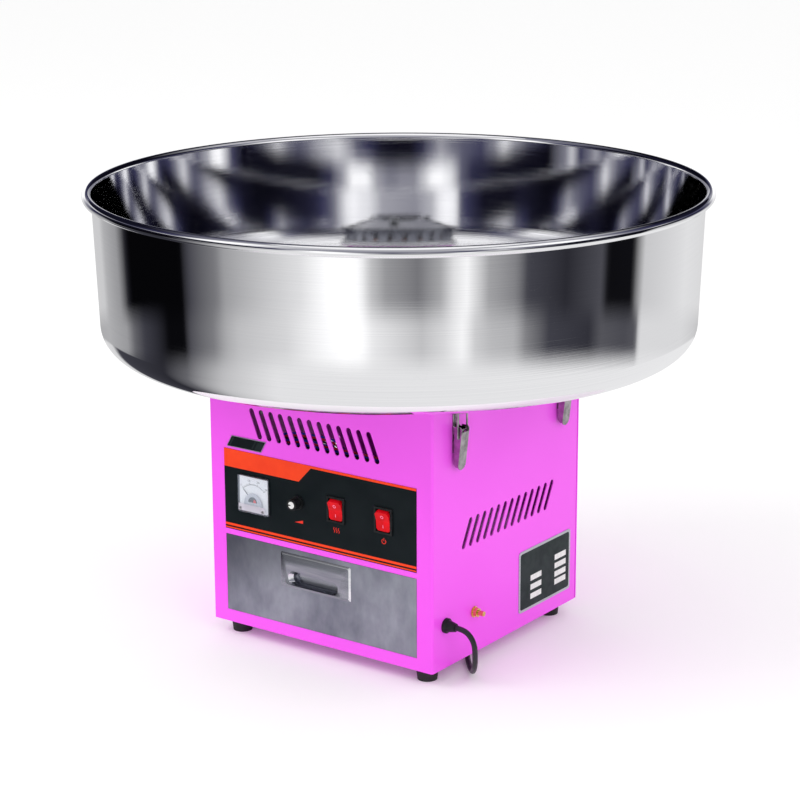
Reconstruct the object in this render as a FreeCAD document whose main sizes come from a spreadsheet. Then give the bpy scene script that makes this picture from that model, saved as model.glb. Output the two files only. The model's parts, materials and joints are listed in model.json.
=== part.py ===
# Electric counter-top cotton candy machine with a wide lift-off bowl.
# Millimetres. +Z is up and the front faces -Y. The origin is on the floor, under the bowl's axis.
import FreeCAD, Part
import math
import os
import PartDesign
import Sketcher
from FreeCAD import Placement, Rotation, Vector

COUNTS_AND_ANGLES = {
    "vent_count": 13, "front_vent_lean": 21.8, "side_vent_lean": 27.4, "band_slots": 36,
    "knob_rest": -95, "rocker_swing": 22,
}
BEAD_FLATS = 8
SIZES = {
    # folded sheet metal case
    "case_width": 320, "case_depth": 306, "case_height": 332.5, "sheet": 1.2,
    "case_offset": 7,            # the bowl's axis stands this far behind the middle of the case
    "front_flange": 21.5,        # what the side panels show at the front
    "rear_flange": 14, "fold_depth": 12, "lip_depth": 10, "bend_radius": 3,
    "top_flange": 15, "pan_lip": 15, "pan_flange": 12, "shelf_edge": 7,
    "drawer_opening": 95.5, "joint_gap": 0.4,
    # rubber feet
    "foot_height": 17.5, "foot_inset": 24, "foot_top": 13.5, "foot_bottom": 11.5,
    "foot_recess": 6, "foot_recess_radius": 5.5,
    "screw_radius": 2, "screw_head": 3.6, "screw_head_height": 2.2, "rear_screw_inset": 7,
    # vents
    "vent_length": 38, "vent_width": 7, "front_vent_pitch": 14.05, "front_vent_x": -6,
    "front_vent_drop": 79.5, "side_vent_pitch": 14.33, "side_vent_y": 1.6, "side_vent_z": 149.5,
    # bowl
    "rim_radius": 365, "bowl_depth": 188.5, "bowl_base": 348, "bowl_corner": 33, "bowl_wall": 1,
    "bead_radius": 5.75, "bowl_hole": 85, "bowl_collar": 8,
    "boss_gap": 1.5, "boss_height": 11, "boss_hole": 24,
    # control panel
    "overlay_height": 99, "overlay_sheet": 0.5,
    "meter_x": -93, "meter_z": 166.5, "meter_side": 45, "meter_flange": 1.6, "meter_cover_depth": 4.8,
    "meter_cover_wall": 1.2, "meter_barrel": 19, "meter_barrel_length": 28, "meter_pivot": 9.5,
    "needle_length": 21, "dial_sheet": 0.5,
    "knob_x": -28, "knob_z": 169.5, "knob_skirt": 8, "knob_grip": 6.4, "knob_depth": 14,
    "control_shaft_radius": 3, "bush_radius": 3.5,
    "switch_z": 170.5, "heat_switch_x": 26.5, "power_switch_x": 93.5,
    "bezel_width": 25, "bezel_height": 31, "bezel_depth": 2.2,
    "switch_width": 21.8, "switch_height": 27.6, "switch_depth": 27,
    "rocker_width": 19, "rocker_radius": 12.8, "rocker_pivot": 4.2, "rocker_clip": 2.4,
    # drawer
    "drawer_sheet": 1, "tray_width": 262, "tray_depth": 250, "tray_height": 80,
    "pull_x": -5, "pull_z": 83.5, "pull_width": 102, "pull_height": 42,
    "cup_x": -9, "cup_z": 74.5, "cup_width": 72, "cup_height": 16, "cup_depth": 12,
    "ledge_width": 12,
    # toggle latches
    "latch_inset": 44, "latch_drop": 54, "latch_width": 12, "latch_sheet": 1.2,
    "pivot_out": 9.5, "pin_radius": 1.5, "crank": 8, "bail_wire": 1.2, "bail_reach": 36,
    "bail_half": 9.2, "lever_width": 15.2, "lever_length": 46,
    "keeper_sheet": 1.5, "keeper_foot": 14,
    # spindle drive
    "plate_drop": 82.5, "plate_width_front": 70, "plate_width_back": 125,
    "spindle_radius": 6, "running_gap": 0.05, "bearing_radius": 14, "bearing_width": 8,
    "housing_radius": 19, "housing_height": 62, "housing_flange": 35, "housing_flange_height": 6,
    "pulley_radius": 42, "motor_pulley_radius": 14, "pulley_width": 12, "groove_depth": 6,
    "belt_width": 6, "belt_height": 5, "belt_gap": 0.4, "pulley_drop": 8, "motor_distance": 85,
    "motor_radius": 42, "motor_height": 70, "motor_shaft_radius": 4,
    "motor_step": 4, "motor_crown": 10, "motor_foot": 52, "motor_foot_sheet": 3,
    "capacitor_radius": 17.5, "capacitor_length": 68, "capacitor_neck": 7, "capacitor_x": -52,
    "board_width": 70, "board_depth": 90, "board_sheet": 1.6, "board_x": -120, "board_y": -70,
    "standoff": 8, "standoff_radius": 3, "standoff_inset": 6,
    "sink_width": 40, "sink_depth": 50, "sink_base": 3.4, "fin_height": 19, "fin_sheet": 2, "fin_pitch": 9.5,
    "ring_radius": 17, "ring_hub": 13, "ring_height": 7, "ring_pitch": 13, "brush_side": 6,
    # spinner head
    "head_level": 16, "head_radius": 67, "band_radius": 62, "band_wall": 1, "band_height": 24,
    "heater_inner": 50, "heater_outer": 53, "heater_height": 16,
    "sugar_hole": 24.5, "head_sheet": 1.6, "post_circle": 40, "post_radius": 2.5,
    # right side fittings
    "gland_back": 26, "gland_z": 51.5, "gland_neck": 7, "gland_flange": 8.75, "gland_length": 14,
    "earth_back": 83, "earth_z": 50.5, "earth_radius": 3, "earth_length": 14,
    # mains cord
    "cord_diameter": 6.5, "coil_x": -110, "coil_y": 212, "coil_inner": 27.75, "coil_outer": 47.25,
    "coil_height": 13,
}

# the cord's route from the bushing to the coil, and from the coil to the plug
CORD_ROUTE = [
    (174, -134, 69), (184.5, -134, 69), (193.8, -134, 63.5), (199, -133.5, 54), (199, -132, 41.5),
    (195.5, -127, 27), (187, -117.5, 14), (173.5, -101, 6), (155, -79.5, 3.3), (128, -46, 3.3),
    (88, -3, 3.3), (34, 38, 3.3), (-24, 84, 3.3), (-58, 134, 3.3), (-65.5, 171, 3.3), (-66.5, 206, 3.3),
]
PLUG_ROUTE = [(-133, 253, 3.3), (-151, 249, 3.3), (-168, 240, 3.3), (-182, 226, 3.3)]

doc = FreeCAD.newDocument("CottonCandyMachine")
nodes = []


class Size:
    """A length with the spreadsheet expression that gives it."""

    def __init__(self, value, text):
        self.value = float(value)
        self.text = text

    def __add__(self, other):
        other = size(other)
        return Size(self.value + other.value, f"({self.text} + {other.text})")

    def __sub__(self, other):
        other = size(other)
        return Size(self.value - other.value, f"({self.text} - {other.text})")

    def __mul__(self, other):
        other = size(other)
        return Size(self.value * other.value, f"({self.text} * {other.text})")

    def __truediv__(self, other):
        other = size(other)
        return Size(self.value / other.value, f"({self.text} / {other.text})")

    def __neg__(self):
        return Size(-self.value, f"(0 - {self.text})")

    def __radd__(self, other):
        return size(other) + self

    def __rsub__(self, other):
        return size(other) - self

    def __rmul__(self, other):
        return size(other) * self


def size(number):
    if isinstance(number, Size):
        return number
    return Size(number, f"({number})" if number < 0 else str(number))


def root(number):
    return Size(math.sqrt(number.value), f"sqrt({number.text})")


class Sheet:
    """The driving dimensions: one spreadsheet row and one attribute each."""

    def __init__(self, sizes):
        table = doc.addObject("Spreadsheet::Sheet", "Sizes")
        for row, (name, number) in enumerate(sizes.items(), start=1):
            table.set(f"A{row}", name)
            table.set(f"B{row}", str(number))
            table.setAlias(f"B{row}", name)
            setattr(self, name, Size(number, f"Sizes.{name}"))
        doc.recompute()


s = Sheet({**SIZES, **COUNTS_AND_ANGLES})


# ---- drawing helpers ----

def bind(target, prop, number):
    target.setExpression(prop, size(number).text)


def place(target, x=0, y=0, z=0, axis=Vector(0, 0, 1), angle=0):
    x, y, z = size(x), size(y), size(z)
    target.Placement = Placement(Vector(x.value, y.value, z.value), Rotation(axis, size(angle).value))
    for prop, number in (("x", x), ("y", y), ("z", z)):
        bind(target, f"Placement.Base.{prop}", number)
    if isinstance(angle, Size):
        bind(target, "Placement.Rotation.Angle", angle)
    return target


def node(target, label):
    target.Label = label
    nodes.append(target)
    return target


def new_body(label, x=0, y=0, z=0, axis=Vector(0, 0, 1), angle=0):
    return node(place(doc.addObject("PartDesign::Body", label), x, y, z, axis, angle), label)


def origin_feature(body, role):
    return [item for item in body.Origin.OriginFeatures if item.Role == role][0]


def sketch_on(body, plane, level=0, shift=(0, 0), turn=0):
    """A sketch whose plane stands at level along +Z, +Y or +X of its body."""
    sketch = body.newObject("Sketcher::SketchObject", f"{body.Name}_sketch")
    sketch.AttachmentSupport = [(origin_feature(body, f"{plane}_Plane"), "")]
    sketch.MapMode = "FlatFace"
    depth = -size(level) if plane == "XZ" else size(level)
    for prop, number in (("x", shift[0]), ("y", shift[1]), ("z", depth)):
        bind(sketch, f"AttachmentOffset.Base.{prop}", number)
    if turn:
        sketch.AttachmentOffset = Placement(Vector(), Rotation(Vector(0, 0, 1), size(turn).value))
        bind(sketch, "AttachmentOffset.Rotation.Angle", turn)
    return sketch


def hold_points(sketch, points):
    """Fixes (geometry, end, x, y) points with distances from the sketch's origin."""
    constraints, texts = [], []
    for geometry, end, x, y in points:
        for kind, number in (("DistanceX", x), ("DistanceY", y)):
            if number is not None:
                constraints.append(Sketcher.Constraint(kind, -1, 1, geometry, end, size(number).value))
                texts.append(size(number).text)
    first = sketch.ConstraintCount
    sketch.addConstraint(constraints)
    for index, text in enumerate(texts):
        sketch.setExpression(f"Constraints[{first + index}]", text)


def draw_path(sketch, points, arcs=None, closed=True):
    """Lines through the points. arcs gives an edge's number its centre and its turn, +1 or -1."""
    arcs = arcs or {}
    first = sketch.GeometryCount
    count = len(points) if closed else len(points) - 1
    ends = []
    held = []
    for index in range(count):
        start = points[index]
        stop = points[(index + 1) % len(points)]
        a = Vector(size(start[0]).value, size(start[1]).value, 0)
        b = Vector(size(stop[0]).value, size(stop[1]).value, 0)
        geometry = first + index
        if index not in arcs:
            sketch.addGeometry(Part.LineSegment(a, b), False)
            ends.append((1, 2))
            continue
        centre_x, centre_y, turn = arcs[index]
        centre = Vector(size(centre_x).value, size(centre_y).value, 0)
        low, high = (a, b) if turn > 0 else (b, a)
        angles = [math.atan2(p.y - centre.y, p.x - centre.x) for p in (low, high)]
        circle = Part.Circle(centre, Vector(0, 0, 1), (a - centre).Length)
        if angles[1] < angles[0]:
            angles[1] += 2 * math.pi
        sketch.addGeometry(Part.ArcOfCircle(circle, angles[0], angles[1]), False)
        ends.append((1, 2) if turn > 0 else (2, 1))
        across = abs(b.x - a.x) > abs(b.y - a.y)
        held.append((geometry, 3, None if across else centre_x, centre_y if across else None))
    joins = range(count) if closed else range(count - 1)
    sketch.addConstraint([
        Sketcher.Constraint("Coincident", first + i, ends[i][1], first + (i + 1) % count, ends[(i + 1) % count][0])
        for i in joins])
    for index in range(count):
        held.append((first + index, ends[index][0]) + tuple(points[index]))
    if not closed:
        held.append((first + count - 1, ends[-1][1]) + tuple(points[-1]))
    hold_points(sketch, held)
    return sketch


def draw_box(sketch, x0, y0, x1, y1):
    return draw_path(sketch, [(x0, y0), (x1, y0), (x1, y1), (x0, y1)])


def draw_circle(sketch, x, y, radius):
    index = sketch.addGeometry(Part.Circle(Vector(size(x).value, size(y).value, 0), Vector(0, 0, 1),
                                           size(radius).value), False)
    hold_points(sketch, [(index, 3, x, y)])
    number = sketch.addConstraint(Sketcher.Constraint("Radius", index, size(radius).value))
    sketch.setExpression(f"Constraints[{number}]", size(radius).text)
    return sketch


def draw_slot(sketch, length, width):
    """A round-ended slot, centred, with its length along the sketch's y."""
    half = width / 2
    end = (length - width) / 2
    points = [(half, -end), (half, end), (-half, end), (-half, -end)]
    return draw_path(sketch, points, {1: (0, end, 1), 3: (0, -end, 1)})


def pad(body, sketch, length, symmetric=False, taper=0):
    feature = body.newObject("PartDesign::Pad", f"{body.Name}_pad")
    feature.Profile = sketch
    bind(feature, "Length", length)
    if symmetric:
        feature.SideType = "Symmetric"
    if taper:
        feature.TaperAngle = taper
    return feature


def pocket(body, sketch, depth, symmetric=False, away=False):
    """Cuts against the sketch's normal, or along it if away."""
    feature = body.newObject("PartDesign::Pocket", f"{body.Name}_pocket")
    feature.Profile = sketch
    bind(feature, "Length", depth)
    if symmetric:
        feature.SideType = "Symmetric"
    feature.Reversed = away
    return feature


def revolve(body, points, arcs=None):
    """A full turn of an (r, z) outline about the body's Z."""
    sketch = draw_path(sketch_on(body, "XZ"), points, arcs)
    feature = body.newObject("PartDesign::Revolution", f"{body.Name}_turn")
    feature.Profile = sketch
    feature.ReferenceAxis = (sketch, ["V_Axis"])
    feature.Angle = 360
    return feature


def row_of(body, feature, axis, pitch, count):
    pattern = body.newObject("PartDesign::LinearPattern", f"{body.Name}_row")
    pattern.Originals = [feature]
    pattern.Direction = (origin_feature(body, f"{axis}_Axis"), [""])
    bind(pattern, "Length", pitch * (count - 1))
    bind(pattern, "Occurrences", count)
    body.Tip = pattern
    return pattern


def ring_of(body, feature, count):
    pattern = body.newObject("PartDesign::PolarPattern", f"{body.Name}_ring")
    pattern.Originals = [feature]
    pattern.Axis = (origin_feature(body, "Z_Axis"), [""])
    pattern.Angle = 360
    bind(pattern, "Occurrences", count)
    body.Tip = pattern
    return pattern


def round_edges(body, radius, *places):
    """Fillets the edges that lie wholly at each place, such as {"x": 5, "y": 2}."""
    doc.recompute()
    base = body.Tip
    names = []
    for index, edge in enumerate(base.Shape.Edges, start=1):
        box = edge.BoundBox
        spans = {"x": (box.XMin, box.XMax), "y": (box.YMin, box.YMax), "z": (box.ZMin, box.ZMax)}
        for spot in places:
            fits = all(abs(end - size(value).value) < 0.01
                       for key, value in spot.items() if key != "r" for end in spans[key])
            if "r" in spot:
                fits = fits and abs(box.XMax - size(spot["r"]).value) < 0.01
            if fits:
                names.append(f"Edge{index}")
    feature = body.newObject("PartDesign::Fillet", f"{body.Name}_fillet")
    feature.Base = (base, names)
    bind(feature, "Radius", radius)
    return feature


def block(label, low, high):
    """A box between two corners."""
    box = doc.addObject("Part::Box", label)
    for prop, a, b in zip(("Length", "Width", "Height"), low, high):
        bind(box, prop, size(b) - a)
    return place(box, *low)


AXES = {"x": (Vector(0, 1, 0), 90), "y": (Vector(1, 0, 0), -90), "z": (Vector(0, 0, 1), 0)}


def rod(label, radius, length, x=0, y=0, z=0, along="z"):
    """A cylinder whose foot is at x, y, z and which runs along +X, +Y or +Z."""
    cylinder = doc.addObject("Part::Cylinder", label)
    bind(cylinder, "Radius", radius)
    bind(cylinder, "Height", length)
    return place(cylinder, x, y, z, *AXES[along])


def hexagon(label, across, length, x=0, y=0, z=0, along="z"):
    prism = doc.addObject("Part::Prism", label)
    prism.Polygon = 6
    bind(prism, "Circumradius", size(across) / math.sqrt(3))
    bind(prism, "Height", length)
    return place(prism, x, y, z, *AXES[along])


def fuse(label, *pieces):
    whole = doc.addObject("Part::MultiFuse", label)
    whole.Shapes = list(pieces)
    return whole


def cut(label, base, *tools):
    result = doc.addObject("Part::Cut", label)
    result.Base = base
    result.Tool = tools[0] if len(tools) == 1 else fuse(f"{label}_tools", *tools)
    return result


def group(label, pieces):
    """Identical small pieces in one node, each its own solid."""
    whole = doc.addObject("Part::Compound", label)
    whole.Links = pieces
    return node(whole, label)


# ---- places that several pieces share, in the case's own frame ----

wall = s.case_width / 2                          # outer face of a side panel
front = -s.case_depth / 2                        # outer face of the front
back = s.case_depth / 2 - s.sheet                # where the rear panel lies on the flanges
opening = wall - s.front_flange                  # half the width between the front flanges
shelf_z = s.pan_lip + s.drawer_opening           # underside of the shelf above the drawer
panel_z = shelf_z + s.shelf_edge                 # lower edge of the front panel
gland_y, earth_y = front + s.gland_back, front + s.earth_back
tray_z = s.pan_lip + s.drawer_sheet + s.joint_gap * 2
case_y = -s.case_offset
case_z = s.foot_height
case_top = s.foot_height + s.case_height
face_y = case_y + front - s.overlay_sheet        # front of the control overlay
screw_heights = [s.case_height * share for share in (0.06, 0.35, 0.65, 0.94)]
screw_x = wall - s.rear_screw_inset


def corners_at(x, y0, y1):
    return [{"x": side * x, "y": y} for side in (-1, 1) for y in (y0, y1)]


def drill(body, plane, level, holes, depth):
    sketch = sketch_on(body, plane, level)
    for x, y, radius in holes:
        draw_circle(sketch, x, y, radius)
    return pocket(body, sketch, depth)


def cut_vents(body, plane, level, centre, along, pitch, lean):
    """A row of leaning round-ended vents through one sheet."""
    first = centre[0] - pitch * (s.vent_count - 1) / 2
    sketch = draw_slot(sketch_on(body, plane, level, (first, centre[1]), lean), s.vent_length, s.vent_width)
    row_of(body, pocket(body, sketch, s.sheet * 2), along, pitch, s.vent_count)


# ---- case ----

LATCHES = (("front_right", 1, -1), ("rear_right", 1, 1), ("front_left", -1, -1), ("rear_left", -1, 1))
latch_z = s.case_height - s.latch_drop


def side_panel(label, side):
    """Wall, front flange and rear flange in one bent sheet, with a lip that the front panel bears on."""
    body = new_body(label, 0, case_y, case_z)
    outline = [
        (wall, front), (wall, back), (wall - s.rear_flange, back), (wall - s.rear_flange, back - s.sheet),
        (wall - s.sheet, back - s.sheet), (wall - s.sheet, front + s.sheet), (opening, front + s.sheet),
        (opening, front)]
    sketch = draw_path(sketch_on(body, "XY"), [(x * side, y) for x, y in outline])
    pad(body, sketch, s.case_height)
    round_edges(body, s.bend_radius, {"x": wall * side, "y": front}, {"x": wall * side, "y": back})
    round_edges(body, s.bend_radius - s.sheet, {"x": (wall - s.sheet) * side, "y": front + s.sheet},
                {"x": (wall - s.sheet) * side, "y": back - s.sheet})
    lip = draw_box(sketch_on(body, "XY", s.sheet + s.joint_gap), opening * side, front + s.sheet / 2,
                   (opening + s.sheet) * side, front + s.lip_depth)
    pad(body, lip, s.case_height - s.top_flange - s.sheet - s.joint_gap * 2)
    drill(body, "XZ", back - s.sheet, [(screw_x * side, z, s.screw_radius) for z in screw_heights], s.sheet)
    level = wall if side > 0 else s.sheet * 2 - wall
    if side > 0:
        holes = [(gland_y, s.gland_z, s.gland_neck), (earth_y, s.earth_z, s.earth_radius)]
        drill(body, "YZ", level, holes, s.sheet * 2)
    cut_vents(body, "YZ", level, (s.side_vent_y, s.side_vent_z), "Y", s.side_vent_pitch, -s.side_vent_lean)


def base_pan():
    """Floor with a front lip under the drawer and flanges along the walls."""
    body = new_body("base_pan", 0, case_y, case_z)
    inside = wall - s.sheet
    y0, y1 = front + s.sheet, back - s.sheet
    pad(body, draw_box(sketch_on(body, "XY"), -inside, y0, inside, y1), s.sheet)
    round_edges(body, s.bend_radius, *corners_at(inside, y0, y1))
    pad(body, draw_box(sketch_on(body, "XZ", front + s.sheet), -opening, 0, opening, s.pan_lip), s.sheet)
    flanges = sketch_on(body, "XY")
    for side in (-1, 1):
        draw_box(flanges, side * (inside - s.sheet), front + s.fold_depth, side * inside, y1 - s.fold_depth)
    draw_box(flanges, s.fold_depth - inside, y1 - s.sheet, inside - s.fold_depth, y1)
    pad(body, flanges, s.pan_flange)
    foot_x, foot_y = wall - s.foot_inset, s.case_depth / 2 - s.foot_inset
    drill(body, "XY", s.sheet, [(x, y, s.screw_radius) for x in (-foot_x, foot_x) for y in (-foot_y, foot_y)],
          s.sheet)


def rear_panel():
    body = new_body("rear_panel", 0, case_y, case_z)
    pad(body, draw_box(sketch_on(body, "XZ", back + s.sheet), -wall, 0, wall, s.case_height), s.sheet)
    drill(body, "XZ", back, [(side * screw_x, z, s.screw_radius) for side in (-1, 1) for z in screw_heights],
          s.sheet)
    cut_vents(body, "XZ", back, (0, s.side_vent_z), "X", s.front_vent_pitch, s.front_vent_lean)


def top_panel():
    """Plate on top of the case, with the raised round boss that centres the bowl."""
    body = new_body("top_panel", 0, 0, case_top)
    inside = wall - s.sheet
    y0, y1 = case_y + front + s.sheet, case_y + back - s.sheet
    pad(body, draw_box(sketch_on(body, "XY", -s.sheet), -inside, y0, inside, y1), s.sheet)
    round_edges(body, s.bend_radius, *corners_at(inside, y0, y1))
    flanges = sketch_on(body, "XY", -s.top_flange)
    for side in (-1, 1):
        draw_box(flanges, side * (inside - s.sheet), y0 + s.fold_depth, side * inside, y1 - s.fold_depth)
    draw_box(flanges, s.fold_depth - inside, y0, inside - s.fold_depth, y0 + s.sheet)
    draw_box(flanges, s.fold_depth - inside, y1 - s.sheet, inside - s.fold_depth, y1)
    pad(body, flanges, s.top_flange - s.sheet)
    boss = s.bowl_hole - s.boss_gap
    drill(body, "XY", 0, [(0, 0, boss - s.sheet)], s.sheet)
    revolve(body, [
        (boss - s.sheet, -s.sheet), (boss, -s.sheet), (boss, s.boss_height), (s.boss_hole, s.boss_height),
        (s.boss_hole, s.boss_height - s.sheet), (boss - s.sheet, s.boss_height - s.sheet)])


def control_holes(body, level, depth):
    """The openings that the controls pass through, the same in the panel and the overlay."""
    sketch = sketch_on(body, "XZ", level)
    draw_circle(sketch, s.meter_x, s.meter_z, s.meter_barrel)
    draw_circle(sketch, s.knob_x, s.knob_z, s.bush_radius)
    for x in (s.heat_switch_x, s.power_switch_x):
        draw_box(sketch, x - s.switch_width / 2, s.switch_z - s.switch_height / 2,
                 x + s.switch_width / 2, s.switch_z + s.switch_height / 2)
    pocket(body, sketch, depth)


def front_panel():
    """Sheet above the shelf, folded back at its sides and foot."""
    body = new_body("front_panel", 0, case_y, case_z)
    pad(body, draw_box(sketch_on(body, "XZ", front + s.sheet), -opening, panel_z, opening, s.case_height), s.sheet)
    returns = sketch_on(body, "XZ", front + s.lip_depth)
    for side in (-1, 1):
        draw_box(returns, side * (opening - s.sheet), panel_z, side * opening,
                 s.case_height - s.top_flange - s.joint_gap)
    draw_box(returns, s.sheet - opening, panel_z, opening - s.sheet, panel_z + s.sheet)
    pad(body, returns, s.lip_depth - s.sheet)
    control_holes(body, front, s.sheet)
    vents_z = s.case_height - s.front_vent_drop
    cut_vents(body, "XZ", front, (s.front_vent_x, vents_z), "X", s.front_vent_pitch, s.front_vent_lean)


def control_overlay():
    body = new_body("control_overlay", 0, case_y, case_z)
    pad(body, draw_box(sketch_on(body, "XZ", front), -opening, panel_z, opening, panel_z + s.overlay_height),
        s.overlay_sheet)
    control_holes(body, front - s.overlay_sheet, s.overlay_sheet)


def drawer_housing():
    """Shelf over the drawer, its edge showing at the front, and two inner walls whose feet turn in as ledges."""
    body = new_body("drawer_housing", 0, case_y, case_z)
    inside = wall - s.sheet
    notch = front + s.fold_depth
    outline = [
        (-opening, front + s.sheet), (opening, front + s.sheet), (opening, notch), (inside, notch),
        (inside, back - s.sheet), (-inside, back - s.sheet), (-inside, notch), (-opening, notch)]
    pad(body, draw_path(sketch_on(body, "XY", shelf_z), outline), s.sheet)
    round_edges(body, s.bend_radius, {"x": inside, "y": back - s.sheet}, {"x": -inside, "y": back - s.sheet})
    pad(body, draw_box(sketch_on(body, "XZ", front + s.sheet), -opening, shelf_z, opening, panel_z), s.sheet)
    inner, rear = s.tray_width / 2 + s.drawer_sheet, back - s.sheet * 2
    walls = sketch_on(body, "XY", tray_z - s.sheet)
    ledges = sketch_on(body, "XY", tray_z - s.sheet)
    for side in (-1, 1):
        draw_box(walls, side * inner, notch, side * (inner + s.sheet), rear)
        draw_box(ledges, side * (inner - s.ledge_width), notch, side * inner, rear)
    pad(body, walls, shelf_z - tray_z + s.sheet)
    pad(body, ledges, s.sheet)


def control_nut():
    x, y, z = at_panel(s.knob_x, s.knob_z)
    nut = hexagon("control_nut_blank", 10, 2, x, y - 2, z, "y")
    return cut("control_nut", nut, rod("control_nut_hole", s.bush_radius, 2, x, y - 2, z, "y"))


def feet_and_screws():
    x, y = wall - s.foot_inset, s.case_depth / 2 - s.foot_inset
    pieces, screws = [], []
    for across in (-1, 1):
        for along in (-1, 1):
            spot = (across * x, case_y + along * y)
            cone = doc.addObject("Part::Cone", "foot_body")
            bind(cone, "Radius1", s.foot_bottom)
            bind(cone, "Radius2", s.foot_top)
            bind(cone, "Height", s.foot_height)
            place(cone, *spot, 0)
            recess = rod("foot_recess_cut", s.foot_recess_radius, s.foot_recess, *spot, 0)
            hole = rod("foot_hole", s.screw_radius, s.foot_height, *spot, 0)
            pieces.append(cut("foot", cone, recess, hole))
            head = hexagon("foot_screw_head", s.screw_head * 2, s.screw_head_height, *spot,
                           s.foot_recess - s.screw_head_height)
            shank = rod("foot_screw_shank", s.screw_radius, s.foot_height - s.foot_recess + s.sheet * 4, *spot,
                        s.foot_recess)
            screws.append(fuse("foot_screw", head, shank))
    group("rubber_feet", pieces)
    for side in (-1, 1):
        for height in screw_heights:
            spot = (side * screw_x, case_z + height)
            face = case_y + back + s.sheet
            head = hexagon("rear_screw_head", s.screw_head * 2, s.screw_head_height, spot[0], face, spot[1],
                           "y")
            shank = rod("rear_screw_shank", s.screw_radius, s.sheet * 4, spot[0], face - s.sheet * 4, spot[1], "y")
            screws.append(fuse("rear_screw", head, shank))
    group("screws_and_nut", screws + [control_nut()])


# ---- bowl ----

def bowl():
    """Spun bowl: turned-up collar round the hole, flat floor, tapering wall and a curled rim."""
    body = new_body("bowl", 0, 0, case_top)
    t = s.bowl_wall
    cx, cz = s.rim_radius - s.bead_radius, s.bowl_depth - s.bead_radius
    turns = [math.pi * (1 - 1.5 * step / BEAD_FLATS) for step in range(BEAD_FLATS + 1)]

    def curl(radius):
        return [(cx + radius * math.cos(turn), cz + radius * math.sin(turn)) for turn in turns]

    revolve(body, [(s.bowl_hole, 0), (s.bowl_base, 0)] + curl(s.bead_radius - t) + curl(s.bead_radius)[::-1] + [
        (s.bowl_base - t, t), (s.bowl_hole + t, t), (s.bowl_hole + t, s.bowl_collar), (s.bowl_hole, s.bowl_collar)])
    round_edges(body, s.bowl_corner, {"z": 0, "r": s.bowl_base})
    round_edges(body, s.bowl_corner - t, {"z": t, "r": s.bowl_base - t})


# ---- toggle latches: x is measured out from the wall, z up from the lever's pin ----

def at_latch(side, end):
    spot = (side * wall, case_y + end * (s.case_depth / 2 - s.latch_inset), case_z + latch_z)
    return spot + (Vector(0, 0, 1), 0 if side > 0 else 180)


def latch_base(spot):
    body = place(doc.addObject("PartDesign::Body", "latch_base"), *spot)
    half = s.latch_width / 2
    plate = draw_box(sketch_on(body, "YZ"), -half, -26, half, 18)
    pad(body, plate, s.latch_sheet)
    nose = s.pin_radius * 2.2
    for level in (half, s.latch_sheet - half):
        ear = draw_path(sketch_on(body, "XZ", level), [
            (0, -6), (3.5, -nose), (s.pivot_out, -nose), (s.pivot_out, nose), (3.5, nose), (0, 6)],
            {2: (s.pivot_out, 0, 1)})
        draw_circle(ear, s.pivot_out, 0, s.pin_radius)
        pad(body, ear, s.latch_sheet)
    return body


def latch_lever(label, spot):
    """Pressed channel that turns on the pin; its straight face leans in to a round end."""
    body = new_body(label, *spot)
    t, face, tip = s.latch_sheet, s.pivot_out + 4.7, -s.lever_length
    foot = face - 5.6                                # how far out the face still stands at its tip
    cheek_end = tip + s.lever_width / 2
    cheeks = [(s.pivot_out - 5, 5), (face - 2, 5), (face, 2.5), (foot, tip), (foot - t, tip), (3, cheek_end),
              (3, -14)]
    pad(body, draw_path(sketch_on(body, "XZ"), cheeks), s.lever_width, symmetric=True)
    hollow = [(0, 7), (face + t, 7), (face + t, -1), (face - t, -1), (foot - t, tip), (foot - t, tip - 1),
              (0, tip - 1)]
    pocket(body, draw_path(sketch_on(body, "XZ"), hollow), s.lever_width - t * 2, symmetric=True)
    half, low = s.lever_width / 2, tip - 1
    outside = [(-half - 1, cheek_end), (-half, cheek_end), (half, cheek_end), (half + 1, cheek_end),
               (half + 1, low), (-half - 1, low)]
    pocket(body, draw_path(sketch_on(body, "YZ", face), outside, {1: (0, cheek_end, 1)}), face)
    holes = draw_circle(sketch_on(body, "XZ"), s.pivot_out, 0, s.pin_radius + s.running_gap)
    draw_circle(holes, s.pivot_out, -s.crank, s.bail_wire + s.running_gap)
    pocket(body, holes, s.lever_width * 2, symmetric=True)


def latch_bail(label, spot):
    """Wire loop whose ends turn in through the lever's cheeks."""
    body = new_body(label, *spot)
    low, high = -s.crank, s.bail_reach - s.crank
    end, half, foot, bend = s.lever_width / 2 - 1.4, s.bail_half, 1.5, 3
    points = [
        (end, low), (half - foot, low), (half, low + foot), (half, high - bend), (half - bend, high),
        (bend - half, high), (-half, high - bend), (-half, low + foot), (foot - half, low), (-end, low)]
    arcs = {1: (half - foot, low + foot, 1), 3: (half - bend, high - bend, 1), 5: (bend - half, high - bend, 1),
            7: (foot - half, low + foot, 1)}
    spine = draw_path(sketch_on(body, "YZ", s.pivot_out), points, arcs, closed=False)
    corners = [math.radians(22.5 + 45 * step) for step in range(8)]
    section = draw_path(sketch_on(body, "XZ", end), [
        (s.pivot_out + s.bail_wire * math.cos(turn), low + s.bail_wire * math.sin(turn)) for turn in corners])
    pipe = body.newObject("PartDesign::AdditivePipe", f"{body.Name}_wire")
    pipe.Profile = section
    pipe.Spine = spine


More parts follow.
